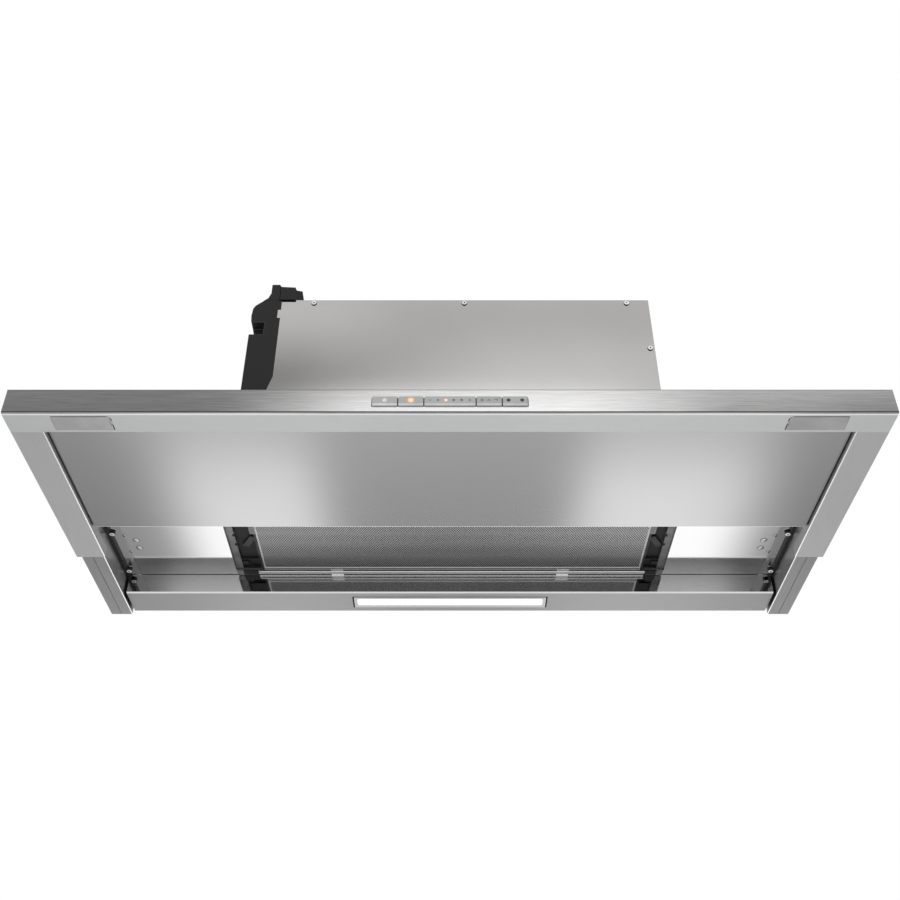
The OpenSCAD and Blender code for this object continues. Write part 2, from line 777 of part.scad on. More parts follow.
// Outlet collar with two non-return flaps on one pin
collar_t = 2;
collar_base_r = 84;
collar_base_t = 2.5;
flap_rise = 23;
flap_t = 1.2;
flap_ledge = 3;
knuckle_r = 3;
module exhaust_collar() {
    z = house_h + flap_rise;
    color("gray") difference() {
        translate([0, -collar_y, house_h]) {
            cylinder(r = collar_r, h = collar_h, $fn = 96);
            cylinder(r = collar_base_r, h = collar_base_t, $fn = 96);
        }
        translate([0, -collar_y, z - flap_t])
            cylinder(r = collar_r - collar_t, h = collar_h, $fn = 96);
        translate([0, -collar_y, house_h - over])
            cylinder(r = collar_r - collar_t - flap_ledge, h = collar_h, $fn = 96);
        rod_x(flap_pin_r + snug, [-collar_r - over, collar_r + over], -collar_y, z);
        // room for the knuckles where the ledge meets the pin
        block([-collar_r + collar_t, collar_r - collar_t],
            [-collar_y - 2 * knuckle_r, 2 * knuckle_r - collar_y], [z - 2 * knuckle_r, z + over]);
    }
}
module flap_pin() {
    color("lightgray") rod_x(flap_pin_r, [-collar_r + collar_t / 4, collar_r - collar_t / 4],
        -collar_y, house_h + flap_rise);
}
flap_knuckle_shares = [0.15, 0.62];
knuckle_w = 14;
module flap(shift) {
    // the half in front of the pin, with a pair of knuckles
    z = house_h + flap_rise;
    gap = knuckle_r + seam;
    r = collar_r - collar_t - 2 * seam;
    color("darkslategray") difference() {
        union() {
            translate([0, -collar_y, z + seam]) difference() {
                cylinder(r = r, h = flap_t, $fn = 96);
                block([-r - over, r + over], [-gap, r + over], [-over, flap_t + over]);
            }
            for (s = flap_knuckle_shares, m = [-1, 1])
                let (x = m * (s * r + shift)) {
                    rod_x(knuckle_r, [x - knuckle_w / 2, x + knuckle_w / 2], -collar_y, z);
                    block([x - knuckle_w / 2, x + knuckle_w / 2],
                        [-collar_y - 2 * gap, -collar_y - flap_pin_r - fit],
                        [z + seam, z + seam + flap_t]);
                }
        }
        rod_x(flap_pin_r + fit, [-collar_r, collar_r], -collar_y, z);
    }
}
module front_flap() { flap(0); }
module rear_flap() {
    translate([0, -2 * collar_y, 0]) mirror([0, 1, 0]) flap(knuckle_w + 4 * seam);
}

// Carriers at both ends of the filter, with the pins that it swings on
pivot_r = 2;
pivot_in = 9;
pivot_y = filter_front_y + filter_t / 2 + seam;
pivot_z = ceiling_z + filter_t / 2;
cheek_t = 3;
carrier_gap = 0.6;
carrier_rise = 3;
carrier_wall = 2;
// Level of the carrier's floor, and its flat outer strip
floor_z = 6;
margin_w = 9;
nick_w = 2.4;
nick_l = 6;
nick_shares = [0.36, 0.5, 0.63];
end_rib_shares = [0, 0.3, 0.87, 1];
// The latch arm runs from the filter's side to the strip
latch_arm_share = 0.54;
latch_arm_lean = 60;
latch_arm_l = 24;
latch_arm_w = 8;
latch_w = 8;
latch_shares = [0.9, 0.95];
module carrier(inner, outer) {
    // inner and outer are the distances from the middle of its two sides
    y0 = intake_front + 4 * seam;
    y1 = -intake_rear - 2 * seam;
    top = pan_h - sheet_t;
    d = y1 - y0;
    low = ceiling_z + carrier_rise / 2;
    margin = outer - margin_w;
    color("dimgray") {
        difference() {
            union() {
                block([inner, inner + cheek_t], [y0, y1], [low, top]);
                block([outer - cheek_t, outer], [y0, y1], [low + carrier_wall, top]);
                block([inner, outer], [y0, y1], [floor_z, floor_z + carrier_wall]);
                block([margin, outer], [y0, y1], [low + carrier_wall, floor_z]);
                for (s = end_rib_shares) let (y = y0 + s * (d - carrier_wall))
                    block([inner, margin], [y, y + carrier_wall], [carrier_rise, floor_z]);
                block([margin - latch_w, margin], [y0 + d * latch_shares[0], y0 + d * latch_shares[1]],
                    [carrier_rise, floor_z]);
                translate([inner + cheek_t / 2 + latch_arm_w * sin(latch_arm_lean),
                    y0 + d * latch_arm_share, carrier_rise])
                    rotate([0, 0, latch_arm_lean])
                    cube([latch_arm_l, latch_arm_w, floor_z - carrier_rise]);
                rod_x(pivot_r, [inner - pivot_in + seam, inner + cheek_t], pivot_y, pivot_z);
            }
            // notches along the strip
            for (s = nick_shares)
                block([margin - nick_w, margin + nick_w], [y0 + s * d, y0 + s * d + nick_l],
                    [low + carrier_wall - over, floor_z]);
        }
    }
}
module right_filter_carrier() {
    carrier(filter_shift + filter_w / 2 + carrier_gap, intake_w / 2 - seam);
}
module left_filter_carrier() {
    mirror([1, 0, 0]) carrier(filter_w / 2 + carrier_gap - filter_shift, intake_w / 2 - seam);
}

// Two spring tongues on the lamp bar that hold up the filter's rear edge
catch_x = 144.5;
catch_w = 15.5;
catch_t = 0.6;
catch_reach = 2.5;
catch_leg = 2;
module filter_catches() {
    color("white") both_sides() {
        block([catch_x - catch_w / 2, catch_x + catch_w / 2],
            [filter_rear_y - catch_reach, -bar_d], [ceiling_z - seam - catch_t, ceiling_z - seam]);
        block([catch_x - catch_w / 2, catch_x + catch_w / 2],
            [-bar_d - catch_t, -bar_d], [ceiling_z - seam - catch_leg, ceiling_z - seam]);
    }
}

// Filter cassette: a channel frame with a solid front bar, two sheets and a core
frame_t = 1;
frame_lip = 2;
frame_rear = 7;
front_bar = 17;
sheet_mesh_t = 0.8;
filter_x0 = filter_shift - filter_w / 2;
filter_x1 = filter_shift + filter_w / 2;
module filter_frame() {
    color("lightgray") difference() {
        block([filter_x0, filter_x1], [filter_front_y, filter_rear_y],
            [ceiling_z, ceiling_z + filter_t]);
        block([filter_x0 + frame_t, filter_x1 - frame_t],
            [filter_front_y + front_bar, filter_rear_y - frame_t],
            [ceiling_z + frame_t, ceiling_z + filter_t - frame_t]);
        block([filter_x0 + frame_lip, filter_x1 - frame_lip],
            [filter_front_y + front_bar + frame_lip, filter_rear_y - frame_rear],
            [ceiling_z - over, ceiling_z + filter_t + over]);
        for (x = [[filter_x0 - over, filter_x0 + pivot_in], [filter_x1 - pivot_in, filter_x1 + over]])
            rod_x(pivot_r + fit, x, pivot_y, pivot_z);
    }
}
module filter_layer(z) {
    block([filter_x0 + frame_t + seam, filter_x1 - frame_t - seam],
        [filter_front_y + front_bar + seam, filter_rear_y - frame_t - seam],
        [ceiling_z + z[0], ceiling_z + z[1]]);
}
module filter_mesh_sheets() {
    color("gray") {
        filter_layer([frame_t, frame_t + sheet_mesh_t]);
        filter_layer([filter_t - frame_t - sheet_mesh_t, filter_t - frame_t]);
    }
}
module filter_core() {
    color("darkgray") filter_layer([frame_t + sheet_mesh_t + seam, filter_t - frame_t - sheet_mesh_t - seam]);
}

// Telescopic slides: three nested channels and two ball cages a side
slide_z = (rail_z + ceiling_z) / 2;
slide_x = slot_x + rail_slot_w / 2 + slide_t / 2;
ball_play = 0.05;
ball_x = slot_x + 4 * ball_r;
fixed_y = -tray_depth / 2 - slide_l / 2;
row_a = slide_h / 2 - slide_t - ball_play - ball_r;
middle_h = 2 * (row_a - ball_r - ball_play);
row_b = middle_h / 2 - slide_t - ball_play - ball_r;
inner_h = 2 * (row_b - ball_r - ball_play);
web_gap = 0.7;
fixed_web = rail_out - sheet_t - slide_t;
middle_web = fixed_web - web_gap - slide_t;
cage_t = 0.4;
cage_l = 146;
module channel(x, web, h, y) {
    // a channel whose web stands at web and whose flanges reach from x[0] to x[1]
    for (m = [-1, 1])
        block(x, [y, y + slide_l], m > 0
            ? [slide_z + h / 2 - slide_t, slide_z + h / 2]
            : [slide_z - h / 2, slide_z - h / 2 + slide_t]);
    block([web, web + slide_t], [y, y + slide_l], [slide_z - h / 2, slide_z + h / 2]);
}
module slide_fixed_members() {
    color("lightsteelblue") both_sides()
        channel([slide_x, fixed_web + slide_t], fixed_web, slide_h, fixed_y);
}
module slide_middle_members() {
    color("lightblue") both_sides()
        channel([slide_x, middle_web + slide_t], middle_web, middle_h, fixed_y - travel / 2);
}
module slide_inner_members() {
    x0 = slot_x - slide_t / 2;
    color("steelblue") both_sides() {
        channel([x0, middle_web - cage_t - 4 * ball_play - web_gap], x0, inner_h, fixed_y - travel);
        // the web runs down through the rail's slot to the side bar
        block([x0, x0 + slide_t], [fixed_y - travel, fixed_y - travel + slide_l],
            [under_z + sheet_t, slide_z]);
    }
}
module ball_cage(row, web, y) {
    pitch = cage_l / ball_n;
    difference() {
        union() {
            for (m = [-1, 1])
                block([slide_x + seam, web + cage_t], [y, y + cage_l],
                    [slide_z + m * row - cage_t / 2, slide_z + m * row + cage_t / 2]);
            block([web, web + cage_t], [y, y + cage_l], [slide_z - row, slide_z + row]);
        }
        for (i = [0:ball_n - 1], m = [-1, 1])
            translate([ball_x, y + (i + 0.5) * pitch, slide_z + m * row - cage_t])
                cylinder(r = ball_r + ball_play, h = 2 * cage_t, $fn = 24);
    }
    for (i = [0:ball_n - 1], m = [-1, 1])
        translate([ball_x, y + (i + 0.5) * pitch, slide_z + m * row]) sphere(r = ball_r, $fn = 24);
}
cage_start = fixed_y + (slide_l - travel / 2 - cage_l) / 2;
module outer_ball_cages() {
    color("goldenrod") both_sides()
        ball_cage(row_a, (fixed_web + middle_web + slide_t - cage_t) / 2, cage_start);
}
module inner_ball_cages() {
    color("gold") both_sides()
        ball_cage(row_b, middle_web - cage_t - 4 * ball_play, cage_start - travel / 2);
}

// Fascia: a channel across the front, with a window for the keys
fascia_gap = 0.4;
fascia_return = 10;
keys_half = 3 * key_pitch;
key_z = under_z + key_rise;
module fascia() {
    t = sheet_t;
    z0 = under_z + t + fascia_gap;
    z1 = under_z + fascia_h;
    color("lightgray") difference() {
        union() {
            block([-half_w, half_w], [front_y, front_y + t], [z0, z1]);
            block([-half_w, half_w], [front_y, front_y + fascia_flange_d], [z1 - t, z1]);
            block([-half_w, half_w], [front_y, front_y + fascia_return], [z0, z0 + t]);
        }
        block([-keys_half - slip, keys_half + slip], [front_y - over, front_y + t + over],
            [key_z - slip, key_z + key_h + slip]);
    }
}
module fascia_back() {
    y = front_y + fascia_flange_d;
    color("gray") block([-half_w + sheet_t, half_w - sheet_t], [y, y + sheet_t],
        [under_z + sheet_t, under_z + fascia_h]);
}
module fascia_end_caps() {
    t = sheet_t;
    color("silver") both_sides() block([half_w - t, half_w],
        [front_y + t, front_y + strip_d],
        [under_z + 2 * t + fascia_gap, under_z + fascia_h - t]);
}
module front_strip() {
    color("lightgray") difference() {
        block([-half_w, half_w], [front_y + seam, front_y + strip_d], [under_z, under_z + sheet_t]);
        both_sides() cover_outline(slip);
    }
}

// Corner cover in the strip's underside, with one rounded corner and a notch
cover_in = 13.9;
cover_back = 3.6;
cover_round = 5;
cover_notch_w = 2.5;
cover_notch_l = 6.5;
cover_lap = 3;
module cover_outline(grow) {
    x1 = lip_x - cover_in + grow;
    x0 = lip_x - cover_in - cover_w - grow;
    y1 = front_y + strip_d - cover_back + grow;
    y0 = y1 - cover_d - 2 * grow;
    z = [under_z - (grow > 0 ? over : 0), under_z + sheet_t + (grow > 0 ? over : 0)];
    block([x0 + cover_round, x1], [y0, y1], z);
    block([x0, x1], [y0 + cover_round, y1], z);
    translate([x0 + cover_round, y0 + cover_round, z[0]]) cylinder(r = cover_round, h = z[1] - z[0]);
}
module corner_covers() {
    notch_x = lip_x - cover_in - cover_w;
    notch_y = front_y + strip_d - cover_back - cover_d / 2 - cover_notch_l / 2;
    color("darkgray") both_sides() {
        difference() {
            cover_outline(0);
            block([notch_x - over, notch_x + cover_notch_w], [notch_y, notch_y + cover_notch_l],
                [under_z - over, under_z + sheet_t / 2]);
        }
        // a lug that rests on the strip's top face
        block([notch_x - cover_lap, lip_x - cover_in + cover_lap],
            [front_y + strip_d - cover_back - cover_d + cover_round,
             front_y + strip_d - cover_back - cover_round],
            [under_z + sheet_t, under_z + 2 * sheet_t]);
    }
}

// Side bar: outer wall, bottom flange and inner lip in one folded sheet
module side_bar() {
    t = sheet_t;
    y = [front_y + strip_d, front_y + closed_depth - seam];
    color("lightgray") {
        block([lip_x, half_w], y, [under_z, under_z + t]);
        block([half_w - t, half_w], y, [under_z, under_z + side_bar_h]);
        block([lip_x, lip_x + t], y, [under_z, under_z + lip_h]);
    }
}
module right_side_bar() { side_bar(); }
module left_side_bar() { mirror([1, 0, 0]) side_bar(); }

// Screen plate: a shallow pan between the side bars
screen_front = front_y + fascia_flange_d + sheet_t + 2 * seam;
module screen_plate() {
    t = sheet_t;
    y = [screen_front, front_y + screen_reach];
    color("silver") difference() {
        block([-screen_half, screen_half], y, [screen_z, screen_z + screen_rim]);
        block([t - screen_half, screen_half - t], [y[0] + t, y[1] - t],
            [screen_z + t, screen_z + screen_rim + over]);
    }
}
module screen_gaskets() {
    color("black") both_sides() block([screen_half, lip_x],
        [front_y + strip_d + screen_gap, front_y + screen_reach - screen_gap],
        [screen_z + screen_rim / 3, screen_z + screen_rim - seam]);
}

// Rubber buffers on the tray's front lip, met by the fascia's back
bumper_r = 4;
bumper_in = 10.5;
bumper_l = tray_depth + front_y + travel + fascia_flange_d + sheet_t + seam;
module bumpers() {
    color("black") both_sides()
        rod_y(bumper_r, rail_in - bumper_in, [-tray_depth + bumper_l, -tray_depth],
            ceiling_z - tray_lip + bumper_r + slip);
}

// Control unit behind the fascia: keys in guides, in front of a switch board
guide_front = 3.6;
guide_d = 5.4;
board_gap = 1.4;
unit_rim = 3;
stem_w = 18;
stem_h = 6;
rocker_pin_r = 1;
rocker_lug = 6;
unit_wall = 1.5;
unit_board_t = 1.6;
unit_half = keys_half + unit_rim;
stem_z = key_z + key_h / 2;
key_centres = [-2.5, -1.5, 0, 1.5, 2.5];
rocker_stems = [-0.5, 0.5];
function stem_places() = concat([for (c = key_centres) if (c != 0) c * key_pitch],
    [for (s = rocker_stems) s * key_pitch]);
guide_y0 = front_y + guide_front;
guide_y1 = guide_y0 + guide_d;
board_y = guide_y1 + board_gap + sheet_t;
module control_housing() {
    z0 = key_z - unit_rim;
    z1 = key_z + key_h + unit_rim;
    color("dimgray") {
        difference() {
            union() {
                block([-unit_half, unit_half], [guide_y0, guide_y1], [z0, z1]);
                // skirt that reaches to the fascia and back round the board
                difference() {
                    block([-unit_half, unit_half], [front_y + sheet_t, board_y + 2 * unit_board_t],
                        [z0, z1]);
                    block([unit_wall - unit_half, unit_half - unit_wall],
                        [front_y + sheet_t - over, board_y + 2 * unit_board_t + over],
                        [z0 + unit_wall, z1 - unit_wall]);
                }
            }
            for (x = stem_places())
                block([x - stem_w / 2 - slip * 2, x + stem_w / 2 + slip * 2],
                    [guide_y0 - over, guide_y1 + over],
                    [stem_z - stem_h / 2 - slip, stem_z + stem_h / 2 + slip]);
            block([-rocker_lug, rocker_lug], [guide_y0 - over, guide_y1 + over],
                [stem_z - stem_h / 2 - slip, stem_z + stem_h / 2 + slip]);
        }
        translate([0, guide_y0 + guide_d / 2, z0]) cylinder(r = rocker_pin_r, h = z1 - z0, $fn = 24);
    }
}
module switch_board() {
    color("seagreen") {
        block([slip + unit_wall - unit_half, unit_half - unit_wall - slip],
            [board_y, board_y + unit_board_t],
            [key_z - unit_rim + unit_wall + slip, key_z + key_h + unit_rim - unit_wall - slip]);
        for (x = stem_places())
            block([x - stem_h / 2, x + stem_h / 2], [guide_y1 + key_travel + slip, board_y],
                [stem_z - stem_h / 2, stem_z + stem_h / 2]);
    }
}
module key_cap(w) {
    gap = slip;
    block([gap - w / 2, w / 2 - gap], [front_y - key_proud, front_y + sheet_t + seam],
        [key_z, key_z + key_h]);
}
module key(place) {
    color("darkgray") translate([place * key_pitch, 0, 0]) {
        key_cap(key_pitch);
        block([-stem_w / 2, stem_w / 2], [front_y + sheet_t, guide_y1],
            [stem_z - stem_h / 2, stem_z + stem_h / 2]);
    }
}
module power_key() { key(-2.5); }
module light_key() { key(-1.5); }
module timer_key() { key(1.5); }
module filter_key() { key(2.5); }
module fan_rocker() {
    color("darkgray") difference() {
        union() {
            key_cap(2 * key_pitch);
            for (s = rocker_stems)
                block([s * key_pitch - stem_w / 2 + slip * 2, s * key_pitch + stem_w / 2 - slip * 2],
                    [front_y + sheet_t, guide_y1 - slip],
                    [stem_z - stem_h / 2, stem_z + stem_h / 2]);
            block([-rocker_lug / 2, rocker_lug / 2], [front_y + sheet_t, guide_y1 - slip],
                [stem_z - stem_h / 2, stem_z + stem_h / 2]);
        }
        translate([0, guide_y0 + guide_d / 2, stem_z - stem_h])
            cylinder(r = rocker_pin_r + fit, h = 2 * stem_h, $fn = 24);
    }
}

ceiling_plate();
left_rail();
right_rail();
lamp_bar();
lamp_housing();
led_board();
lamp_diffuser();
lamp_bezel();
guide_strips();
ceiling_rivets();
cabinet_brackets();
housing_base();
housing_front();
housing_shell();
housing_top();
pan_head_screws();
end_casing();
terminal_box();
control_board();
terminal_block();
capacitor();
cable_gland();
scroll_left();
scroll_right();
motor_body();
motor_bracket();
motor_shaft();
impeller();
exhaust_collar();
flap_pin();
front_flap();
rear_flap();
left_filter_carrier();
right_filter_carrier();
filter_catches();
filter_frame();
filter_mesh_sheets();
filter_core();
slide_fixed_members();
slide_middle_members();
slide_inner_members();
outer_ball_cages();
inner_ball_cages();
fascia();
fascia_back();
fascia_end_caps();
front_strip();
left_side_bar();
right_side_bar();
corner_covers();
screen_plate();
screen_gaskets();
bumpers();
control_housing();
switch_board();
power_key();
light_key();
fan_rocker();
timer_key();
filter_key();
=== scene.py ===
import json
import math

import bmesh
import bpy
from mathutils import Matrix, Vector


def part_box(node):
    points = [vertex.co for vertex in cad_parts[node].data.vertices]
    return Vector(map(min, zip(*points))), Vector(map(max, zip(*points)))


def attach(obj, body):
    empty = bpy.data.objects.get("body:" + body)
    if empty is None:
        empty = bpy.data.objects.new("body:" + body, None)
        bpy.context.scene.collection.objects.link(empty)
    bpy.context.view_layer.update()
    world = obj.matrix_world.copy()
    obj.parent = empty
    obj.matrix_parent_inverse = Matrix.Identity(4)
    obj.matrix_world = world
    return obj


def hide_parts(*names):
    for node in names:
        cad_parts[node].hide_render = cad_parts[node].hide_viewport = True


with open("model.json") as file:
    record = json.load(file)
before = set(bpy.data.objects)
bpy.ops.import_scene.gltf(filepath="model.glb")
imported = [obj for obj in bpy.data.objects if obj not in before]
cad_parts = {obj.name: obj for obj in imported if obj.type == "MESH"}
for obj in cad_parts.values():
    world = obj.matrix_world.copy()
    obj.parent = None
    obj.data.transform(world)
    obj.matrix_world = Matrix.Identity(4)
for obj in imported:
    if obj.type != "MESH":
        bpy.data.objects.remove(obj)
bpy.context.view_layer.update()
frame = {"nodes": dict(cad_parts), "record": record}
nodes = frame["nodes"]
MM = 0.001


# ---------------------------------------------------------------- node helpers
class Tree:
    """Short calls for building a node tree."""

    def __init__(self, tree):
        self.t = tree

    def add(self, kind, **values):
        n = self.t.nodes.new(kind)
        for key, value in values.items():
            setattr(n, key, value)
        return n

    def link(self, a, b):
        self.t.links.new(a, b)

    def put(self, socket, value):
        """A number, a colour or another node's output goes into a socket."""
        if isinstance(value, bpy.types.NodeSocket):
            self.link(value, socket)
        else:
            socket.default_value = value

    def math(self, op, a, b=0.0):
        n = self.add("ShaderNodeMath", operation=op)
        for socket, value in zip(n.inputs, (a, b)):
            self.put(socket, value)
        return n.outputs[0]

    def span(self, x, a, b, lo=0.0, hi=1.0, smooth=True):
        """lo at a and below, hi at b and above, smooth between."""
        n = self.add("ShaderNodeMapRange", clamp=True)
        n.interpolation_type = "SMOOTHSTEP" if smooth else "LINEAR"
        for socket, value in zip(n.inputs, (x, a, b, lo, hi)):
            self.put(socket, value)
        return n.outputs[0]

    def mix(self, f, a, b):
        n = self.add("ShaderNodeMix", data_type="RGBA")
        self.put(n.inputs[0], f)
        self.put(n.inputs[6], a if isinstance(a, bpy.types.NodeSocket) else (*a, 1))
        self.put(n.inputs[7], b if isinstance(b, bpy.types.NodeSocket) else (*b, 1))
        return n.outputs[2]

    def blend(self, f, a, b):
        """a where f is 0, and b where f is 1."""
        return self.math("ADD", self.math("MULTIPLY", a, self.math("SUBTRACT", 1.0, f)),
                         self.math("MULTIPLY", b, f))

    def patch(self, x, a, b, c, d, level=1.0):
        """A soft patch along x: it begins at a, is full from b to c, and ends at d."""
        return self.math("MULTIPLY", self.span(x, a, b), self.span(x, c, d, level, 0.0))

    def noise(self, vector, scale, detail=2.0, rough=0.5):
        n = self.add("ShaderNodeTexNoise")
        self.put(n.inputs["Vector"], vector)
        n.inputs["Scale"].default_value = scale
        n.inputs["Detail"].default_value = detail
        n.inputs["Roughness"].default_value = rough
        return n.outputs[0]

    def stretch(self, vector, scale):
        n = self.add("ShaderNodeMapping")
        self.put(n.inputs["Vector"], vector)
        n.inputs["Scale"].default_value = scale
        return n.outputs[0]


def material(name):
    """A new material, its tree, its shader and the place on the object, in metres."""
    m = bpy.data.materials.new(name)
    m.use_nodes = True
    t = Tree(m.node_tree)
    bsdf = m.node_tree.nodes["Principled BSDF"]
    where = t.add("ShaderNodeTexCoord").outputs["Object"]
    return m, t, bsdf, where


def grey(v, warm=0.0):
    """A grey, a little warmer or cooler."""
    return (v * (1 + warm), v, v * (1 - warm))


def times(c, k):
    """A colour, k times as bright."""
    return tuple(x * k for x in c)


def steel(name, colour, rough, grain="x", vary=0.05, cloud=0.02, bump=0.0, shade=None):
    """Sheet steel. Grain is the axis that the brushing follows, or None for a satin face.
    shade(t, where) gives a factor on the colour, for painted shade in fixed places."""
    m, t, bsdf, where = material(name)
    bsdf.inputs["Metallic"].default_value = 1.0
    along = {"x": (30, 900, 1100), "y": (900, 30, 900)}.get(grain, (420, 420, 420))
    lines = t.noise(t.stretch(where, along), 1.0, 3.0, 0.65)
    patches = t.noise(where, 9.0, 3.0, 0.5)
    factor = t.math("ADD", t.span(lines, 0.3, 0.7, 1 - vary, 1 + vary, False),
                    t.span(patches, 0.3, 0.7, -cloud, cloud, False))
    if shade:
        factor = t.math("MULTIPLY", factor, shade(t, where))
    col = t.add("ShaderNodeVectorMath", operation="SCALE")
    col.inputs[0].default_value = colour
    t.put(col.inputs["Scale"], factor)
    t.link(col.outputs[0], bsdf.inputs["Base Color"])
    t.put(bsdf.inputs["Roughness"], t.span(lines, 0.25, 0.75, rough * 0.9, rough * 1.1, False))
    if bump:
        node = t.add("ShaderNodeBump")
        node.inputs["Strength"].default_value = bump
        node.inputs["Distance"].default_value = 0.00003
        t.link(lines, node.inputs["Height"])
        t.link(node.outputs[0], bsdf.inputs["Normal"])
    return m


def plastic(name, colour, rough, grain=0.00004, scale=1400.0, spec=0.5):
    """Moulded plastic with a fine grain and faint cloudy wear."""
    m, t, bsdf, where = material(name)
    wear = t.noise(where, 22.0, 4.0, 0.6)
    t.link(t.mix(t.span(wear, 0.35, 0.7), times(colour, 0.88), times(colour, 1.14)),
           bsdf.inputs["Base Color"])
    t.put(bsdf.inputs["Roughness"],
          t.span(wear, 0.3, 0.7, rough * 0.9, min(1, rough * 1.15), False))
    bsdf.inputs["Specular IOR Level"].default_value = spec
    bump = t.add("ShaderNodeBump")
    bump.inputs["Strength"].default_value = 0.25
    bump.inputs["Distance"].default_value = grain
    t.link(t.noise(where, scale, 2.0), bump.inputs["Height"])
    t.link(bump.outputs[0], bsdf.inputs["Normal"])
    return m


def glow(name, colour):
    """A lit mark, which shows its colour as it is written."""
    m, t, bsdf, where = material(name)
    soft = t.span(t.noise(where, 300.0, 1.0), 0.3, 0.7)
    t.link(t.mix(soft, times(colour, 0.08), times(colour, 0.1)), bsdf.inputs["Base Color"])
    bsdf.inputs["Roughness"].default_value = 0.6
    t.link(t.mix(soft, times(colour, 0.93), times(colour, 0.97)), bsdf.inputs["Emission Color"])
    bsdf.inputs["Emission Strength"].default_value = 1.0
    return m


def axes(t, where):
    """x, y and z of a place, in millimetres."""
    n = t.add("ShaderNodeSeparateXYZ")
    t.link(where, n.inputs[0])
    return [t.math("MULTIPLY", v, 1000.0) for v in n.outputs]


def mesh_painted_shade(t, where):
    """Painted shade: the filter's sheet is darker toward the rear, standing in for the shade in its
    holes and its dimmer reflection there.
    """
    _, y, _ = axes(t, where)
    return t.span(y, -190, -90, 0.62, 0.34, False)


def carrier_painted_light(t, where):
    """Painted light: the carriers' flat outer strip and their latch arm are set a lighter grey, as
    where light falls on them; on the strip it fades toward the rear and upward.
    """
    x, y, z = axes(t, where)
    strip = t.span(t.math("ABSOLUTE", x), 264.2, 265.2)
    low = t.math("MULTIPLY", t.span(y, -160, -70, 1.0, 0.45), t.span(z, 2.0, 2.6, 1.0, 0.3))
    arm = t.math("MULTIPLY", t.span(z, 3.2, 4.2, 0.12, 0.0), t.span(y, -98, -92, 1.0, 0.0))
    return t.math("MAXIMUM", t.math("MULTIPLY", strip, low), arm)


def painted_light_plastic(name, colour, lit_tone, rough, mask):
    """Plastic painted toward a lighter tone where mask(t, where) is 1, as painted light; its cloudy
    noise is wear.
    """
    m, t, bsdf, where = material(name)
    wear = t.span(t.noise(where, 60.0, 4.0, 0.65), 0.3, 0.7, 0.7, 1.3, False)
    col = t.add("ShaderNodeVectorMath", operation="SCALE")
    t.link(t.mix(mask(t, where), colour, lit_tone), col.inputs[0])
    t.put(col.inputs["Scale"], wear)
    t.link(col.outputs[0], bsdf.inputs["Base Color"])
    t.put(bsdf.inputs["Roughness"], t.span(wear, 0.7, 1.3, rough * 0.9, rough * 1.1, False))
    bsdf.inputs["Specular IOR Level"].default_value = 0.2
    return m


def lit(name, colour, edge, middle):
    """The diffuser: dimmer along its front edge than in the middle."""
    m, t, bsdf, where = material(name)
    _, y, _ = axes(t, where)
    back = t.span(y, -32.5, -29.5, edge, middle)
    soft = t.span(t.noise(where, 60.0, 1.0), 0.3, 0.7, 0.985, 1.0)
    col = t.add("ShaderNodeVectorMath", operation="SCALE")
    col.inputs[0].default_value = colour
    t.put(col.inputs["Scale"], t.math("MULTIPLY", back, soft))
    t.link(col.outputs[0], bsdf.inputs["Emission Color"])
    bsdf.inputs["Emission Strength"].default_value = 1.0
    t.link(t.mix(soft, times(colour, 0.25), times(colour, 0.3)), bsdf.inputs["Base Color"])
    bsdf.inputs["Roughness"].default_value = 0.5
    return m


def haloed(name, colour, halo, x0, z0, inner, outer):
    """A key's plastic with a painted warm glow round its lit mark, at x0 and z0 on its front."""
    m, t, bsdf, where = material(name)
    x, _, z = axes(t, where)
    dx, dz = t.math("SUBTRACT", x, x0), t.math("SUBTRACT", z, z0)
    far = t.math("SQRT", t.math("ADD", t.math("MULTIPLY", dx, dx), t.math("MULTIPLY", dz, dz)))
    near_mark = t.span(far, inner, outer, 1.0, 0.0)
    wear = t.span(t.noise(where, 22.0, 4.0, 0.6), 0.35, 0.7)
    plain = t.mix(wear, times(colour, 0.95), times(colour, 1.05))
    t.link(t.mix(near_mark, plain, halo), bsdf.inputs["Base Color"])
    t.put(bsdf.inputs["Roughness"], t.span(wear, 0.0, 1.0, 0.32, 0.38, False))
    return m


MAT = {
    "fascia_steel": steel("fascia_steel", grey(0.74, 0.004), 0.11, "x", 0.11, 0.02, 0.02),
    "frame_steel": steel("frame_steel", grey(0.60, -0.006), 0.38, "x", 0.03, 0.02, 0.03),
    "plate_steel": steel("plate_steel", grey(0.62), 0.13, None, 0.01, 0.012),
    "tray_steel": steel("tray_steel", grey(0.86), 0.08, None, 0.01, 0.012),
    "housing_steel": steel("housing_steel", grey(0.66, 0.014), 0.09, None, 0.012, 0.02),
    "zinc": steel("zinc", (0.60, 0.62, 0.64), 0.42, None, 0.05, 0.08),
    "bright_screw": steel("bright_screw", grey(0.88), 0.16, None, 0.03),
    "shaft_steel": steel("shaft_steel", grey(0.62), 0.25, "x", 0.05),
    "filter_metal": steel("filter_metal", grey(0.70), 0.24, "x", 0.05),
    "filter_mesh": steel("filter_mesh", grey(0.90), 0.30, "x", 0.04, shade=mesh_painted_shade),
    "motor_metal": plastic("motor_metal", grey(0.10), 0.45),
    "black_plastic": plastic("black_plastic", grey(0.014), 0.5, 0.00004, 1400.0, 0.3),
    "grey_plastic": plastic("grey_plastic", grey(0.12), 0.45),
    "key_plastic": plastic("key_plastic", grey(0.40, -0.004), 0.35, 0.00001),
    "cover_plastic": plastic("cover_plastic", grey(0.36), 0.45, 0.00001),
    "white_plastic": plastic("white_plastic", grey(0.75), 0.4),
    "board": plastic("board", (0.02, 0.16, 0.08), 0.35),
    "rubber": plastic("rubber", grey(0.015), 0.7),
    "diffuser": lit("diffuser", (1.0, 1.0, 0.985), 0.65, 1.0),
}
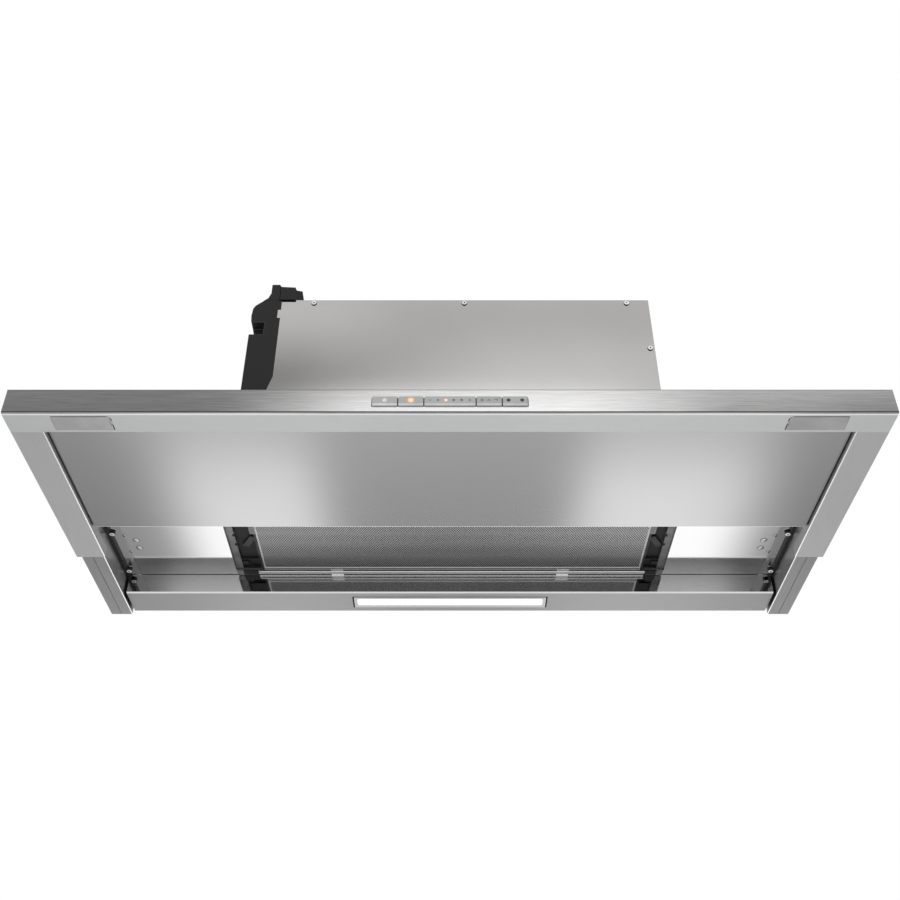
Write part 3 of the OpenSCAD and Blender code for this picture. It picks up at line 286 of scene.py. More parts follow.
# parts of pieces, and pieces whose steel differs from their slot's
# painted shade: the side bars' steel is the front strip's, set darker for how their crosswise grain
# reflects
SIDE = steel("side_steel", grey(0.49), 0.38, "y", 0.03, 0.02, 0.03)
BAR = steel("bar_steel", grey(0.46), 0.08, "x", 0.02)
BAR_UNDER = steel("bar_underside", grey(0.36), 0.30, "x", 0.02)
RAIL = steel("rail_steel", grey(0.34), 0.30, "y", 0.05)
# painted highlight: a near-white steel for rounded and cut edges, lighter than the sheets they
# belong to
EDGE = steel("edge_steel", grey(0.93), 0.22, None, 0.02)
# painted highlight: lighter than the lamp bar's steel, for its slanted front fold; also the plain
# tone of the filter's rolled rear edge
FOLD = steel("fold_steel", grey(0.56), 0.25, None, 0.02)
PLATE_EDGE = steel("plate_edge", grey(0.36), 0.3, None, 0.02)
LINE = steel("line_steel", grey(0.22), 0.3, None, 0.02)
LIP = steel("lip_steel", grey(0.26), 0.35, None, 0.02)
SOFT_EDGE = steel("soft_edge", grey(0.60), 0.30, None, 0.02)
DARK_EDGE = plastic("dark_edge", grey(0.03), 0.4)
# painted shadow: the dark slanted lower fold of the fascia, where its gap to the strip is in shade
SEAM_PAINTED_SHADOW = plastic("seam_shadow", grey(0.05), 0.7, 0.00004, 900.0, 0.1)
# painted shadow: near-black for gaps, recesses and holes where shade falls
GAP_PAINTED_SHADOW = plastic("gap_shadow", grey(0.003), 0.9, 0.00001, 900.0, 0.0)
# painted shadow: near-black for the filter's core, the inside of its holes and the hollow rivets
CORE_PAINTED_SHADOW = plastic("core_shadow", grey(0.012), 0.8, 0.00004, 900.0, 0.1)
BOX_DARK = plastic("box_dark", grey(0.010), 0.5, 0.00004, 1400.0, 0.3)
# the carriers' black plastic, with painted light on their outer strip and latch arm
CARRIER = painted_light_plastic("carrier_plastic", grey(0.012), grey(0.34), 0.5, carrier_painted_light)
# painted light: a lighter copy of the key plastic for the keys' slanted lower fold, as light from
# below falls on it
KEY_EDGE = plastic("key_edge", grey(0.62), 0.35, 0.00001)
RIVET = steel("rivet_steel", grey(0.62), 0.20, None, 0.03)
RIVET_PAINTED_SHADOW = steel("rivet_painted_shadow", grey(0.24), 0.35, None, 0.03)
# painted highlight: a near-white plastic stands in for the bright reflection of the screws' metal
# heads
SCREW = plastic("screw_painted_highlight", grey(0.88), 0.3, 0.00001)
PRINT = plastic("print_grey", grey(0.16), 0.5, 0.00001)
PRINT_DARK = plastic("print_dark", grey(0.045), 0.5, 0.00001)
LIT_PALE = glow("lit_pale", (0.84, 0.74, 0.68))
LIT_WARM = glow("lit_warm", (1.0, 0.68, 0.50))
LIT_LEVEL = glow("lit_level", (0.95, 0.80, 0.68))


def paint(obj, *mats):
    """An object gets these materials, and all its faces the first."""
    obj.data.materials.clear()
    for mat in mats:
        obj.data.materials.append(mat)


for part in frame["record"]["subparts"]:
    paint(nodes[part["node"]], MAT[part["material_slot"]])
BODY = {n: b for b, ns in frame["record"]["behaviour"]["bodies"].items() for n in ns}
for name in ("left_filter_carrier", "right_filter_carrier"):
    paint(nodes[name], CARRIER)
# the filter's core is painted dark as the shade inside the filter
paint(nodes["filter_core"], CORE_PAINTED_SHADOW)


# ---------------------------------------------------------------- pieces
def keep(name, bm, mats, body, swaps=(), smooth=False):
    """A mesh becomes a piece that rides on a body and may stand for CAD nodes."""
    bmesh.ops.recalc_face_normals(bm, faces=bm.faces)
    me = bpy.data.meshes.new(name)
    bm.to_mesh(me)
    bm.free()
    o = bpy.data.objects.new(name, me)
    bpy.context.scene.collection.objects.link(o)
    for mat in mats:
        me.materials.append(mat)
    if smooth:
        me.shade_smooth()
        me.set_sharp_from_angle(angle=math.radians(40))
    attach(o, body)
    if swaps:
        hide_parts(*swaps)


def solid(node):
    """A clean copy of a CAD node's mesh, in millimetres."""
    bm = bmesh.new()
    bm.from_mesh(nodes[node].data)
    bmesh.ops.scale(bm, vec=(1000, 1000, 1000), verts=bm.verts)
    bmesh.ops.remove_doubles(bm, verts=bm.verts, dist=0.002)
    bmesh.ops.dissolve_limit(bm, angle_limit=math.radians(0.5), verts=bm.verts, edges=bm.edges)
    for f in bm.faces:
        f.material_index = 0
    return bm


def sharp(bm, least=35):
    """The edges at which the surface turns by more than least degrees."""
    return [e for e in bm.edges if len(e.link_faces) == 2
            and e.calc_face_angle(0.0) > math.radians(least)]


def round_edges(bm, edges, width, steps, index):
    """Bevels edges. The bevel takes its neighbours' material where index is 0."""
    if edges:
        bmesh.ops.bevel(bm, geom=edges, offset=width, offset_type="OFFSET", segments=steps,
                        profile=0.5, affect="EDGES", clamp_overlap=True,
                        material=index if index else -1)


def soften(node, mats, width, change=None, edge=1):
    """A copy of a CAD node with rounded edges takes its place. change(mesh) alters it first,
    and edge is the rounded edges' place in mats."""
    bm = solid(node)
    if change:
        change(bm)
    if width:
        round_edges(bm, sharp(bm, 50), width, 2, edge)
    bmesh.ops.scale(bm, vec=(MM, MM, MM), verts=bm.verts)
    keep(node + "_look", bm, mats, BODY[node], (node,))


def cut(bm, place, normal):
    """New edges where a plane crosses the mesh, so that its sides can have their own material."""
    bmesh.ops.bisect_plane(bm, geom=bm.verts[:] + bm.edges[:] + bm.faces[:],
                           plane_co=place, plane_no=normal)


def near(a, b, tol=0.05):
    """Whether two lengths in millimetres are the same but for tol."""
    return abs(a - b) < tol


def fold(bm, picked, move, size, index):
    """A wall's bottom edge is cut back to a slanting face, which gets its own material.
    picked(place) tells the edge's points, and move is the direction in which they give way."""
    low = min(v.co.z for v in bm.verts)
    cut(bm, (0, 0, low + size), (0, 0, 1))
    for v in bm.verts:
        if near(v.co.z, low) and picked(v.co):
            v.co += Vector(move) * size
            for f in v.link_faces:
                f.normal_update()
                if -0.95 < f.normal.z < -0.3:
                    f.material_index = index


def span_of(node):
    """A CAD node's lowest and highest corner, in millimetres."""
    lo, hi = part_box(node)
    return [v * 1000 for v in lo], [v * 1000 for v in hi]


def front_fold(node, size, index, depth=1.0):
    """A change that folds the bottom of a piece's front."""
    front = span_of(node)[0][1]
    return lambda bm: fold(bm, lambda p: near(p.y, front), (0, depth, 0), size, index)


def inner_fold(node, size, index):
    """The same at the bottom of the side that faces the middle of the hood."""
    lo, hi = span_of(node)
    inner, out = (hi[0], -1) if hi[0] < 0 else (lo[0], 1)
    return lambda bm: fold(bm, lambda p: near(p.x, inner), (out, 0, 0), size, index)


def both(*changes):
    """One change that makes several, in order."""
    def run(bm):
        for change in changes:
            change(bm)
    return run


FASCIA_DROP = 1.2    # the fascia's lower edge reaches this far over the strip
FASCIA_RISE = 0.5    # and its upper edge this far above the solid
LINE_BELOW = 0.3     # its darker line starts this far below the solid's upper edge


def fascia_edges(bm):
    """The fascia's lower edge reaches a little over the strip, and its upper fold is darker."""
    lo, hi = span_of("fascia")
    for v in bm.verts:
        if near(v.co.z, lo[2]):
            v.co.z -= FASCIA_DROP
        elif near(v.co.z, hi[2]):
            v.co.z += FASCIA_RISE
    line = hi[2] - LINE_BELOW
    cut(bm, (0, 0, line), (0, 0, 1))
    for f in bm.faces:
        f.normal_update()
        if f.normal.y < -0.95 and f.calc_center_median().z > line:
            f.material_index = 3


# the fascia's slanted lower fold is painted dark as the shadow of its gap to the strip
soften("fascia", (MAT["fascia_steel"], EDGE, SEAM_PAINTED_SHADOW, LINE), 0.2,
       both(front_fold("fascia", 0.4, 2), fascia_edges), edge=0)
soften("front_strip", (MAT["frame_steel"], SOFT_EDGE), 0.12,
       front_fold("front_strip", 1.7, 1, 1.9), edge=0)
SLOT_LIP = 0.85      # how far each lip of a rail's slot is turned in


def close_slot(bm):
    """The rails' slot is narrower than its cutter, with its lips turned in."""
    xs = sorted({round(v.co.x, 2) for v in bm.verts if v.co.z < -31})
    for a, b in zip(xs, xs[1:]):
        if 2.0 < b - a < 2.4:
            for v in bm.verts:
                if near(v.co.x, a):
                    v.co.x += SLOT_LIP
                elif near(v.co.x, b):
                    v.co.x -= SLOT_LIP


for side in ("left", "right"):
    bar, rail = side + "_side_bar", side + "_rail"
    soften(bar, (SIDE, EDGE), 0.15, inner_fold(bar, 0.9, 1), edge=0)
    soften(rail, (RAIL, EDGE), 0.1, both(close_slot, inner_fold(rail, 0.8, 1)), edge=0)


def plate_hem(bm):
    """The screen plate's rear edge is rounded and painted bright as a highlight."""
    lo, hi = span_of("screen_plate")
    rear = []
    for e in sharp(bm):
        middle = (e.verts[0].co + e.verts[1].co) / 2
        run = (e.verts[1].co - e.verts[0].co).normalized()
        if abs(run.x) > 0.99 and near(middle.y, hi[1]) and near(middle.z, lo[2]):
            rear.append(e)
    round_edges(bm, rear, 1.2, 4, 1)


soften("screen_plate", (MAT["plate_steel"], EDGE), 0.2, plate_hem, edge=0)
bar_lo, bar_hi = span_of("lamp_bar")
BAR_TOP = -1.2       # the bar's upper front edge in the solids
TOP_GAP = 0.65
END_GAP = 0.3


def bar_gaps(bm):
    """A thin gap between the lamp bar and the ceiling, and a wider one at its two ends."""
    for v in bm.verts:
        if v.co.y < bar_lo[1] + 1.5 and near(v.co.z, BAR_TOP):
            v.co.z -= TOP_GAP
        if near(abs(v.co.x), bar_hi[0]):
            v.co.x -= math.copysign(END_GAP, v.co.x)


def bar_under(bm):
    """The lamp bar's underside is brushed, its front polished."""
    for f in bm.faces:
        f.normal_update()
        if f.normal.z < -0.95 and f.calc_center_median().z < bar_lo[2] + 0.1:
            f.material_index = 2


# the lamp bar's slanted front fold gets the lighter steel as a painted highlight
soften("lamp_bar", (BAR, FOLD, BAR_UNDER), 0.15,
       both(bar_gaps, front_fold("lamp_bar", 1.6, 1), bar_under), edge=0)
OPENING = (275, -226, -57)    # the intake opening's half width, front and rear


def opening_edge(bm):
    """The cut edges of the intake opening are painted bright as a highlight."""
    half, front, rear = OPENING
    for f in bm.faces:
        f.normal_update()
        c = f.calc_center_median()
        if abs(f.normal.z) < 0.3 and abs(c.x) < half and front < c.y < rear:
            f.material_index = 1


soften("ceiling_plate", (MAT["tray_steel"], EDGE), 0.5, opening_edge)
SCREW_SHIFT = 3.4             # two of the housing plate's upper screws sit this far left
SHIFTED = (-177.4, 22.5)      # of their places in the solids
SCREW_ROW = 311               # that row's height


def moved_holes(bm):
    """The shifted screws' holes go with them."""
    for v in bm.verts:
        for x in SHIFTED:
            if near(v.co.x, x, 2.6) and near(v.co.z, SCREW_ROW, 2.6):
                v.co.x -= SCREW_SHIFT
                break


soften("housing_front", (MAT["housing_steel"], PLATE_EDGE), 0.35, moved_holes)
soften("end_casing", (MAT["black_plastic"], DARK_EDGE), 0.8)
soften("filter_catches", (MAT["tray_steel"], EDGE), 0.12)


def low_strips(bm):
    """The strips are shallow where they run beside the ceiling."""
    for v in bm.verts:
        if v.co.z < -6:
            v.co.z = -4.6


soften("guide_strips", (BOX_DARK, DARK_EDGE), 0.4, low_strips)
soften("cabinet_brackets", (MAT["zinc"], MAT["zinc"]), 0.4)
soften("filter_frame", (MAT["filter_metal"], EDGE), 0.2)


def box_faces(bm):
    """The terminal box: a crease down its front painted dark as shade, a darker right part, and a
    painted shadow along the gap below.
    """
    crease, step, gap = -227.4, -206.4, 319.3
    for x in (crease - 0.4, crease + 0.4, step):
        cut(bm, (x, 0, 0), (1, 0, 0))
    cut(bm, (0, 0, gap), (0, 0, 1))
    front = min(v.co.y for v in bm.verts)
    for f in bm.faces:
        c = f.calc_center_median()
        if c.y > front + 0.5:
            continue
        if c.x > step:
            f.material_index = 3
        if abs(c.x - crease) < 0.4 or (c.z < gap and crease + 0.4 < c.x < step):
            f.material_index = 2


soften("terminal_box", (MAT["black_plastic"], DARK_EDGE, GAP_PAINTED_SHADOW, BOX_DARK), 0.5, box_faces, edge=0)
BEZEL_END = 123.6             # the bezel's ends are painted dark as shadow from here


def bezel_shape(bm):
    """The bezel's two ends are painted dark as the shadow of a gap, and its window sits a little
    nearer the front.
    """
    for v in bm.verts:
        if abs(v.co.x) > 126:
            v.co.x -= math.copysign(1.1, v.co.x)
        elif -23.5 < v.co.y < -13 and abs(v.co.x) < 121:
            v.co.y -= 1.7
    for x in (-BEZEL_END, BEZEL_END):
        cut(bm, (x, 0, 0), (1, 0, 0))
    for f in bm.faces:
        if abs(f.calc_center_median().x) > BEZEL_END + 0.1:
            f.material_index = 2


soften("lamp_bezel", (SOFT_EDGE, EDGE, GAP_PAINTED_SHADOW), 0.0, bezel_shape)


def key_shape(bm):
    """A key's front is a little narrower than its place."""
    xs = [v.co.x for v in bm.verts]
    mid = (min(xs) + max(xs)) / 2
    half = (max(xs) - min(xs)) / 2
    for v in bm.verts:
        v.co.x = mid + (v.co.x - mid) * (half - 0.3) / half


def cover_shape(bm):
    """Sloping sides along a cover's front and inner edges, painted dark as the shadow of a gap."""
    low = min(v.co.z for v in bm.verts)
    front = min(v.co.y for v in bm.verts)
    inner = min(abs(v.co.x) for v in bm.verts if v.co.z < low + 0.1)
    for v in bm.verts:
        if v.co.z < low + 0.1:
            if v.co.y < front + 0.1:
                v.co.y += 0.8
            if abs(v.co.x) < inner + 1.2:
                v.co.x += math.copysign(0.7, v.co.x)
    for f in bm.faces:
        f.normal_update()
        c = f.calc_center_median()
        if abs(f.normal.z) < 0.9 and (c.y < front + 1.5 or abs(c.x) < inner + 1.5):
            f.material_index = 1


# a lit mark's x, the tone of the painted glow round it, and the glow's inner and outer radius
HALO = {"power_key": (-65.4, (0.52, 0.42, 0.36), 1.6, 4.2),
        "light_key": (-39.2, (0.72, 0.40, 0.24), 2.8, 5.2),
        "fan_rocker": (-4.1, (0.60, 0.36, 0.28), 1.6, 3.6)}
MARK_Z = -20.6
# each key's slanted lower front fold is painted lighter, as light from below falls on it
for key in ("power_key", "light_key", "fan_rocker", "timer_key", "filter_key"):
    face = MAT["key_plastic"]
    if key in HALO:
        x0, tone, inner, outer = HALO[key]
        face = haloed(key + "_face", grey(0.40, -0.004), tone, x0, MARK_Z, inner, outer)
    soften(key, (face, KEY_EDGE), 0.1, both(key_shape, front_fold(key, 1.4, 1)), edge=0)
soften("corner_covers", (MAT["cover_plastic"], GAP_PAINTED_SHADOW), 0.0, cover_shape)


# ---------------------------------------------------------------- turned heads
def lathe(bm, place, out, profile, sides=20):
    """A turned head. out is the axis that it stands along ("-y" or "-z"), and profile is a list
    of (radius, height, material of the band that follows)."""
    rings = []
    for r, h, _ in profile:
        ring = []
        for k in range(sides):
            a = 2 * math.pi * k / sides
            u, v = r * math.cos(a), r * math.sin(a)
            p = (u, -h, v) if out == "-y" else (u, v, -h)
            ring.append(bm.verts.new([(c + d) * MM for c, d in zip(place, p)]))
        rings.append(ring)
    for (a, b), (_, _, index) in zip(zip(rings, rings[1:]), profile):
        for k in range(sides):
            n = (k + 1) % sides
            bm.faces.new((a[k], a[n], b[n], b[k])).material_index = index
    bm.faces.new(rings[-1]).material_index = profile[-1][2]
    bm.faces.new(rings[0][::-1]).material_index = profile[0][2]


# a pan head with a recess: its crown painted near-white as a highlight, and painted dark as shade
# in the recess and as shadow under its rim
HEAD = [(3.7, 0.0, 1), (3.7, 0.3, 1), (2.9, 0.3, 1), (3.3, 1.3, 0), (2.9, 1.9, 0), (1.1, 2.0, 1),
        (1.0, 1.0, 1)]


def screw_heads():
    """The bright screws on the front plate and the strips; the brackets keep their own."""
    bm = solid("pan_head_screws")
    heads, seen = [], set()
    for start in bm.verts[:]:
        if start in seen:
            continue
        island, todo = [], [start]
        seen.add(start)
        while todo:
            v = todo.pop()
            island.append(v)
            for e in v.link_edges:
                other = e.other_vert(v)
                if other not in seen:
                    seen.add(other)
                    todo.append(other)
        lo = [min(v.co[k] for v in island) for k in range(3)]
        hi = [max(v.co[k] for v in island) for k in range(3)]
        mid = [(a + b) / 2 for a, b in zip(lo, hi)]
        if lo[2] < -3:
            heads.append(((mid[0], mid[1], lo[2] + 1.8), "-z", island))
        elif hi[1] - lo[1] > hi[2] - lo[2]:
            shift = -SCREW_SHIFT if mid[0] < 100 and mid[2] > SCREW_ROW - 11 else 0.0
            heads.append(((mid[0] + shift, lo[1] + 1.8, mid[2]), "-y", island))
    for _, _, island in heads:
        bmesh.ops.delete(bm, geom=island, context="VERTS")
    bmesh.ops.scale(bm, vec=(MM, MM, MM), verts=bm.verts)
    for place, out, _ in heads:
        lathe(bm, place, out, HEAD)
    keep("screw_heads", bm, (SCREW, GAP_PAINTED_SHADOW), BODY["pan_head_screws"],
         ("pan_head_screws",))


# rivet profiles: the outer bands are the painted shadow ring, and the hollow rivet's inner bands
# are painted shade
WIDE_RIVET = [(4.4, 1.0, 1), (4.4, 1.5, 1), (3.2, 1.9, 0), (2.0, 2.1, 0), (1.0, 2.2, 0)]
HOLLOW_RIVET = [(2.8, 1.0, 1), (2.8, 1.5, 1), (2.1, 2.1, 0), (1.3, 2.2, 2), (1.1, 1.4, 2)]


def rivet_heads():
    """Two wide and two hollow rivets a side, each in a ring painted dark as its shadow; the hollow
    ones are painted dark as shade inside.
    """
    bm = bmesh.new()
    for side in (-1, 1):
        for x, y, wide in ((397.5, -143, False), (385.5, -133, True), (385.5, -115, True),
                           (397.5, -106, False)):
            lathe(bm, (side * x, y, 0), "-z", WIDE_RIVET if wide else HOLLOW_RIVET)
    keep("rivet_heads", bm, (RIVET, RIVET_PAINTED_SHADOW, CORE_PAINTED_SHADOW), BODY["ceiling_rivets"],
         ("ceiling_rivets",))


screw_heads()
rivet_heads()


# ---------------------------------------------------------------- the grease filter
def perforated(bm, x, y, z, thick, pitch, hole):
    """A sheet with staggered six-sided holes, and the walls of the holes."""
    big = pitch / math.sqrt(3)
    step = pitch * math.sqrt(3) / 2
    corners = [(math.cos(math.radians(30 + 60 * k)), math.sin(math.radians(30 + 60 * k)))
               for k in range(6)]
    points = {}

    def vert(px, py, pz):
        px = min(max(px, x[0]), x[1])
        py = min(max(py, y[0]), y[1])
        key = (round(px, 3), round(py, 3), round(pz, 3))
        if key not in points:
            points[key] = bm.verts.new((px * MM, py * MM, pz * MM))
        return points[key]

    def face(vs, index):
        vs = list(dict.fromkeys(vs))
        if len(vs) < 3:
            return
        area = sum(a.co.x * b.co.y - b.co.x * a.co.y for a, b in zip(vs, vs[1:] + vs[:1]))
        if abs(area) < 1e-10 and len({round(v.co.z, 6) for v in vs}) == 1:
            return
        bm.faces.new(vs).material_index = index

    rows = int((y[1] - y[0]) / step) + 2
    cols = int((x[1] - x[0]) / pitch) + 2
    for j in range(rows):
        cy = y[0] + j * step
        for i in range(cols):
            cx = x[0] + (i + 0.5 * (j % 2)) * pitch
            outer = [vert(cx + big * c, cy + big * s, z) for c, s in corners]
            edge = hole + 0.35
            if x[0] + edge < cx < x[1] - edge and y[0] + edge < cy < y[1] - edge:
                ring = [vert(cx + hole * c, cy + hole * s, z) for c, s in corners]
                deep = [vert(cx + hole * c, cy + hole * s, z + thick) for c, s in corners]
                for k in range(6):
                    n = (k + 1) % 6
                    face([outer[k], outer[n], ring[n], ring[k]], 0)
                    bm.faces.new([ring[k], ring[n], deep[n], deep[k]]).material_index = 1
            else:
                face(outer, 0)


def filter_sheets():
    """The perforated lower sheet, and a plain upper one whose side toward the holes is painted dark
    as shade, as are the walls of the holes.
    """
    lo, hi = span_of("filter_mesh_sheets")
    bm = bmesh.new()
    perforated(bm, (lo[0], hi[0]), (lo[1], hi[1]), lo[2], 0.8, 3.0, 1.05)
    for z, index in ((hi[2] - 0.8, 1), (hi[2], 0)):
        vs = [bm.verts.new((a * MM, b * MM, z * MM))
              for a, b in ((lo[0], lo[1]), (hi[0], lo[1]), (hi[0], hi[1]), (lo[0], hi[1]))]
        bm.faces.new(vs).material_index = index
    keep("filter_sheets", bm, (MAT["filter_mesh"], CORE_PAINTED_SHADOW), "filter",
         ("filter_mesh_sheets",))


filter_sheets()


def prism(bm, outline, z0, z1, under=0):
    """A plate from z0 to z1. outline is a list of (x, y), and under the underside's place in the
    materials."""
    low = [bm.verts.new((x * MM, y * MM, z0 * MM)) for x, y in outline]
    top = [bm.verts.new((x * MM, y * MM, z1 * MM)) for x, y in outline]
    bm.faces.new(low[::-1]).material_index = under
    bm.faces.new(top)
    for k in range(len(outline)):
        n = (k + 1) % len(outline)
        bm.faces.new((low[k], low[n], top[n], top[k]))


def bead(name, x, y, z, r, mat, body, sides=10):
    """A rounded bead along the four sides of a rectangle."""
    bm = bmesh.new()
    rings = []
    for sx, sy in ((-1, -1), (1, -1), (1, 1), (-1, 1)):
        cx, cy = (x[0] if sx < 0 else x[1]), (y[0] if sy < 0 else y[1])
        ring = []
        for k in range(sides):
            a = 2 * math.pi * k / sides
            ring.append(bm.verts.new(((cx + sx * r * math.cos(a)) * MM,
                                      (cy + sy * r * math.cos(a)) * MM,
                                      (z + r * math.sin(a)) * MM)))
        rings.append(ring)
    for i in range(4):
        a, b = rings[i], rings[(i + 1) % 4]
        for k in range(sides):
            n = (k + 1) % sides
            bm.faces.new((a[k], b[k], b[n], a[n]))
    keep(name, bm, (mat,), body, (), True)


def roll(name, x, y, z, r, mat, body, sides=12):
    """A rolled edge: a round bar from x[0] to x[1] with closed ends."""
    bm = bmesh.new()
    turns = [2 * math.pi * k / sides for k in range(sides)]
    rings = [[bm.verts.new((cx * MM, (y + r * math.cos(a)) * MM, (z + r * math.sin(a)) * MM))
              for a in turns] for cx in x]
    for k in range(sides):
        n = (k + 1) % sides
        bm.faces.new((rings[0][k], rings[0][n], rings[1][n], rings[1][k]))
    bm.faces.new(rings[0])
    bm.faces.new(rings[1][::-1])
    keep(name, bm, (mat,), body, (), True)


END_LIP = (-165, -147)        # front and rear of the lips at the frame's ends
REAR_LIP = (-65.3, -61.2)


def filter_lips():
    """Perforated lips at the frame's ends and rear, pressed into its underside."""
    lo, hi = span_of("filter_frame")
    bm = bmesh.new()
    perforated(bm, (lo[0] + 0.5, hi[0] - 0.5), REAR_LIP, lo[2] - 0.12, 0.1, 2.6, 0.7)
    for x in ((lo[0] - 7, lo[0] + 0.2), (hi[0] - 0.2, hi[0] + 7)):
        perforated(bm, x, END_LIP, lo[2] - 0.1, 0.1, 2.6, 0.7)
        prism(bm, [(x[0], END_LIP[0]), (x[1], END_LIP[0]), (x[1], END_LIP[1]), (x[0], END_LIP[1])],
              lo[2], lo[2] + 0.8, 1)
    # the walls of the lips' holes and the undersides of the end blocks are painted dark as shade
    keep("filter_lips", bm, (LIP, GAP_PAINTED_SHADOW), "filter")


FOOT = (-60.0, -52.5, -49.6)  # a foot's front, where it starts to narrow, and its rear
FOOT_Z = (-2.6, -1.35)


def carrier_feet():
    """Each carrier ends in a flat foot that rests under the ceiling's rear strip."""
    front, shoulder, rear = FOOT
    bm = bmesh.new()
    for node in ("left_filter_carrier", "right_filter_carrier"):
        lo, hi = span_of(node)
        x0, x1 = (lo[0] + 1.0, -246.0) if lo[0] < 0 else (250.0, hi[0] - 1.0)
        prism(bm, [(x0, front), (x1, front), (x1, shoulder), (x1 - 3.0, rear), (x0 + 3.0, rear),
                   (x0, shoulder)], *FOOT_Z)
    keep("carrier_feet", bm, (CARRIER,), BODY["left_filter_carrier"])


filter_lips()
carrier_feet()
frame_lo, frame_hi = span_of("filter_frame")
roll("filter_rear_edge", (frame_lo[0] - 7, frame_hi[0] + 7), frame_hi[1] + 2.9, -1.6, 1.25, FOLD,
     "filter")
bead("filter_bead", (frame_lo[0] + 0.9, frame_hi[0] - 0.9),
     (frame_lo[1] + 19.6, frame_hi[1] - 7.2), frame_lo[2] + 0.15, 0.6, SOFT_EDGE, "filter")


# ---------------------------------------------------------------- marks on the keys
def ring_points(r, n, a0, a1):
    """n + 1 points on a circle, from one angle to another."""
    return [(r * math.cos(math.radians(a0 + (a1 - a0) * k / n)),
             r * math.sin(math.radians(a0 + (a1 - a0) * k / n))) for k in range(n + 1)]


def arc(r0, r1, a0, a1, n=20):
    """The outline of a piece of a ring."""
    return ring_points(r1, n, a0, a1) + ring_points(r0, n, a1, a0)


def disc(r, n=20):
    """The outline of a filled circle."""
    return ring_points(r, n, 0, 360 - 360 / n)


def box2(x0, x1, z0, z1):
    """The outline of a rectangle."""
    return [(x0, z0), (x1, z0), (x1, z1), (x0, z1)]


def apart(p, q):
    """Whether two points of an outline aren't the same."""
    return abs(p[0] - q[0]) + abs(p[1] - q[1]) > 1e-6


def mark(name, shapes, x, mat, body):
    """Thin raised print on a key's front. Outlines are in millimetres round (x, MARK_Z)."""
    bm = bmesh.new()
    face_y = span_of("power_key")[0][1]
    for shape in shapes:
        pts = [p for k, p in enumerate(shape) if k == 0 or apart(p, shape[k - 1])]
        if not apart(pts[0], pts[-1]):
            pts.pop()
        front, back = ([bm.verts.new(((x + a) * MM, y * MM, (MARK_Z + b) * MM)) for a, b in pts]
                       for y in (face_y - 0.08, face_y))
        bm.faces.new(front)
        bm.faces.new(back[::-1])
        for k in range(len(pts)):
            n = (k + 1) % len(pts)
            bm.faces.new((front[k], front[n], back[n], back[k]))
    keep(name, bm, (mat,), body)


DASH = box2(-1.5, 1.5, -0.4, 0.4)
ARROW = [(-2.0, -1.1), (-1.1, -1.1), (0, 0.4), (1.1, -1.1), (2.0, -1.1), (0, 1.5)]
mark("mark_power", [arc(0.9, 1.9, 130, 410), box2(-0.45, 0.45, 0.2, 2.4)], HALO["power_key"][0],
     LIT_PALE, "power_key")
mark("mark_light", [disc(2.7)], HALO["light_key"][0], LIT_WARM, "light_key")
for name, shapes, x, mat in (
        ("mark_minus", [box2(-1.5, 1.5, -0.45, 0.45)], -20.1, PRINT),
        ("mark_low", [disc(1.2)], -12.1, PRINT),
        ("mark_level", [disc(1.6)], HALO["fan_rocker"][0], LIT_LEVEL),
        ("mark_mid", [disc(1.5)], 3.7, PRINT),
        ("mark_high", [disc(1.5)], 11.7, PRINT),
        ("mark_plus", [DASH, box2(-0.4, 0.4, 0.4, 1.4), box2(-0.4, 0.4, -1.4, -0.4)], 19.7, PRINT)):
    mark(name, shapes, x, mat, "fan_rocker")
for name, shapes, x in (
        ("mark_clock", [arc(0.7, 1.5, 0, 180), arc(0.7, 1.5, 180, 360)], 32.0),
        ("mark_up", [ARROW], 38.9),
        ("mark_corner", [box2(-1.5, 1.5, 0.5, 1.3), box2(0.7, 1.5, -1.1, 0.5)], 46.1)):
    mark(name, shapes, x, PRINT, "timer_key")
for name, x in (("mark_dot_a", 58.6), ("mark_dot_b", 72.2)):
    mark(name, [disc(2.0)], x, PRINT_DARK, "filter_key")


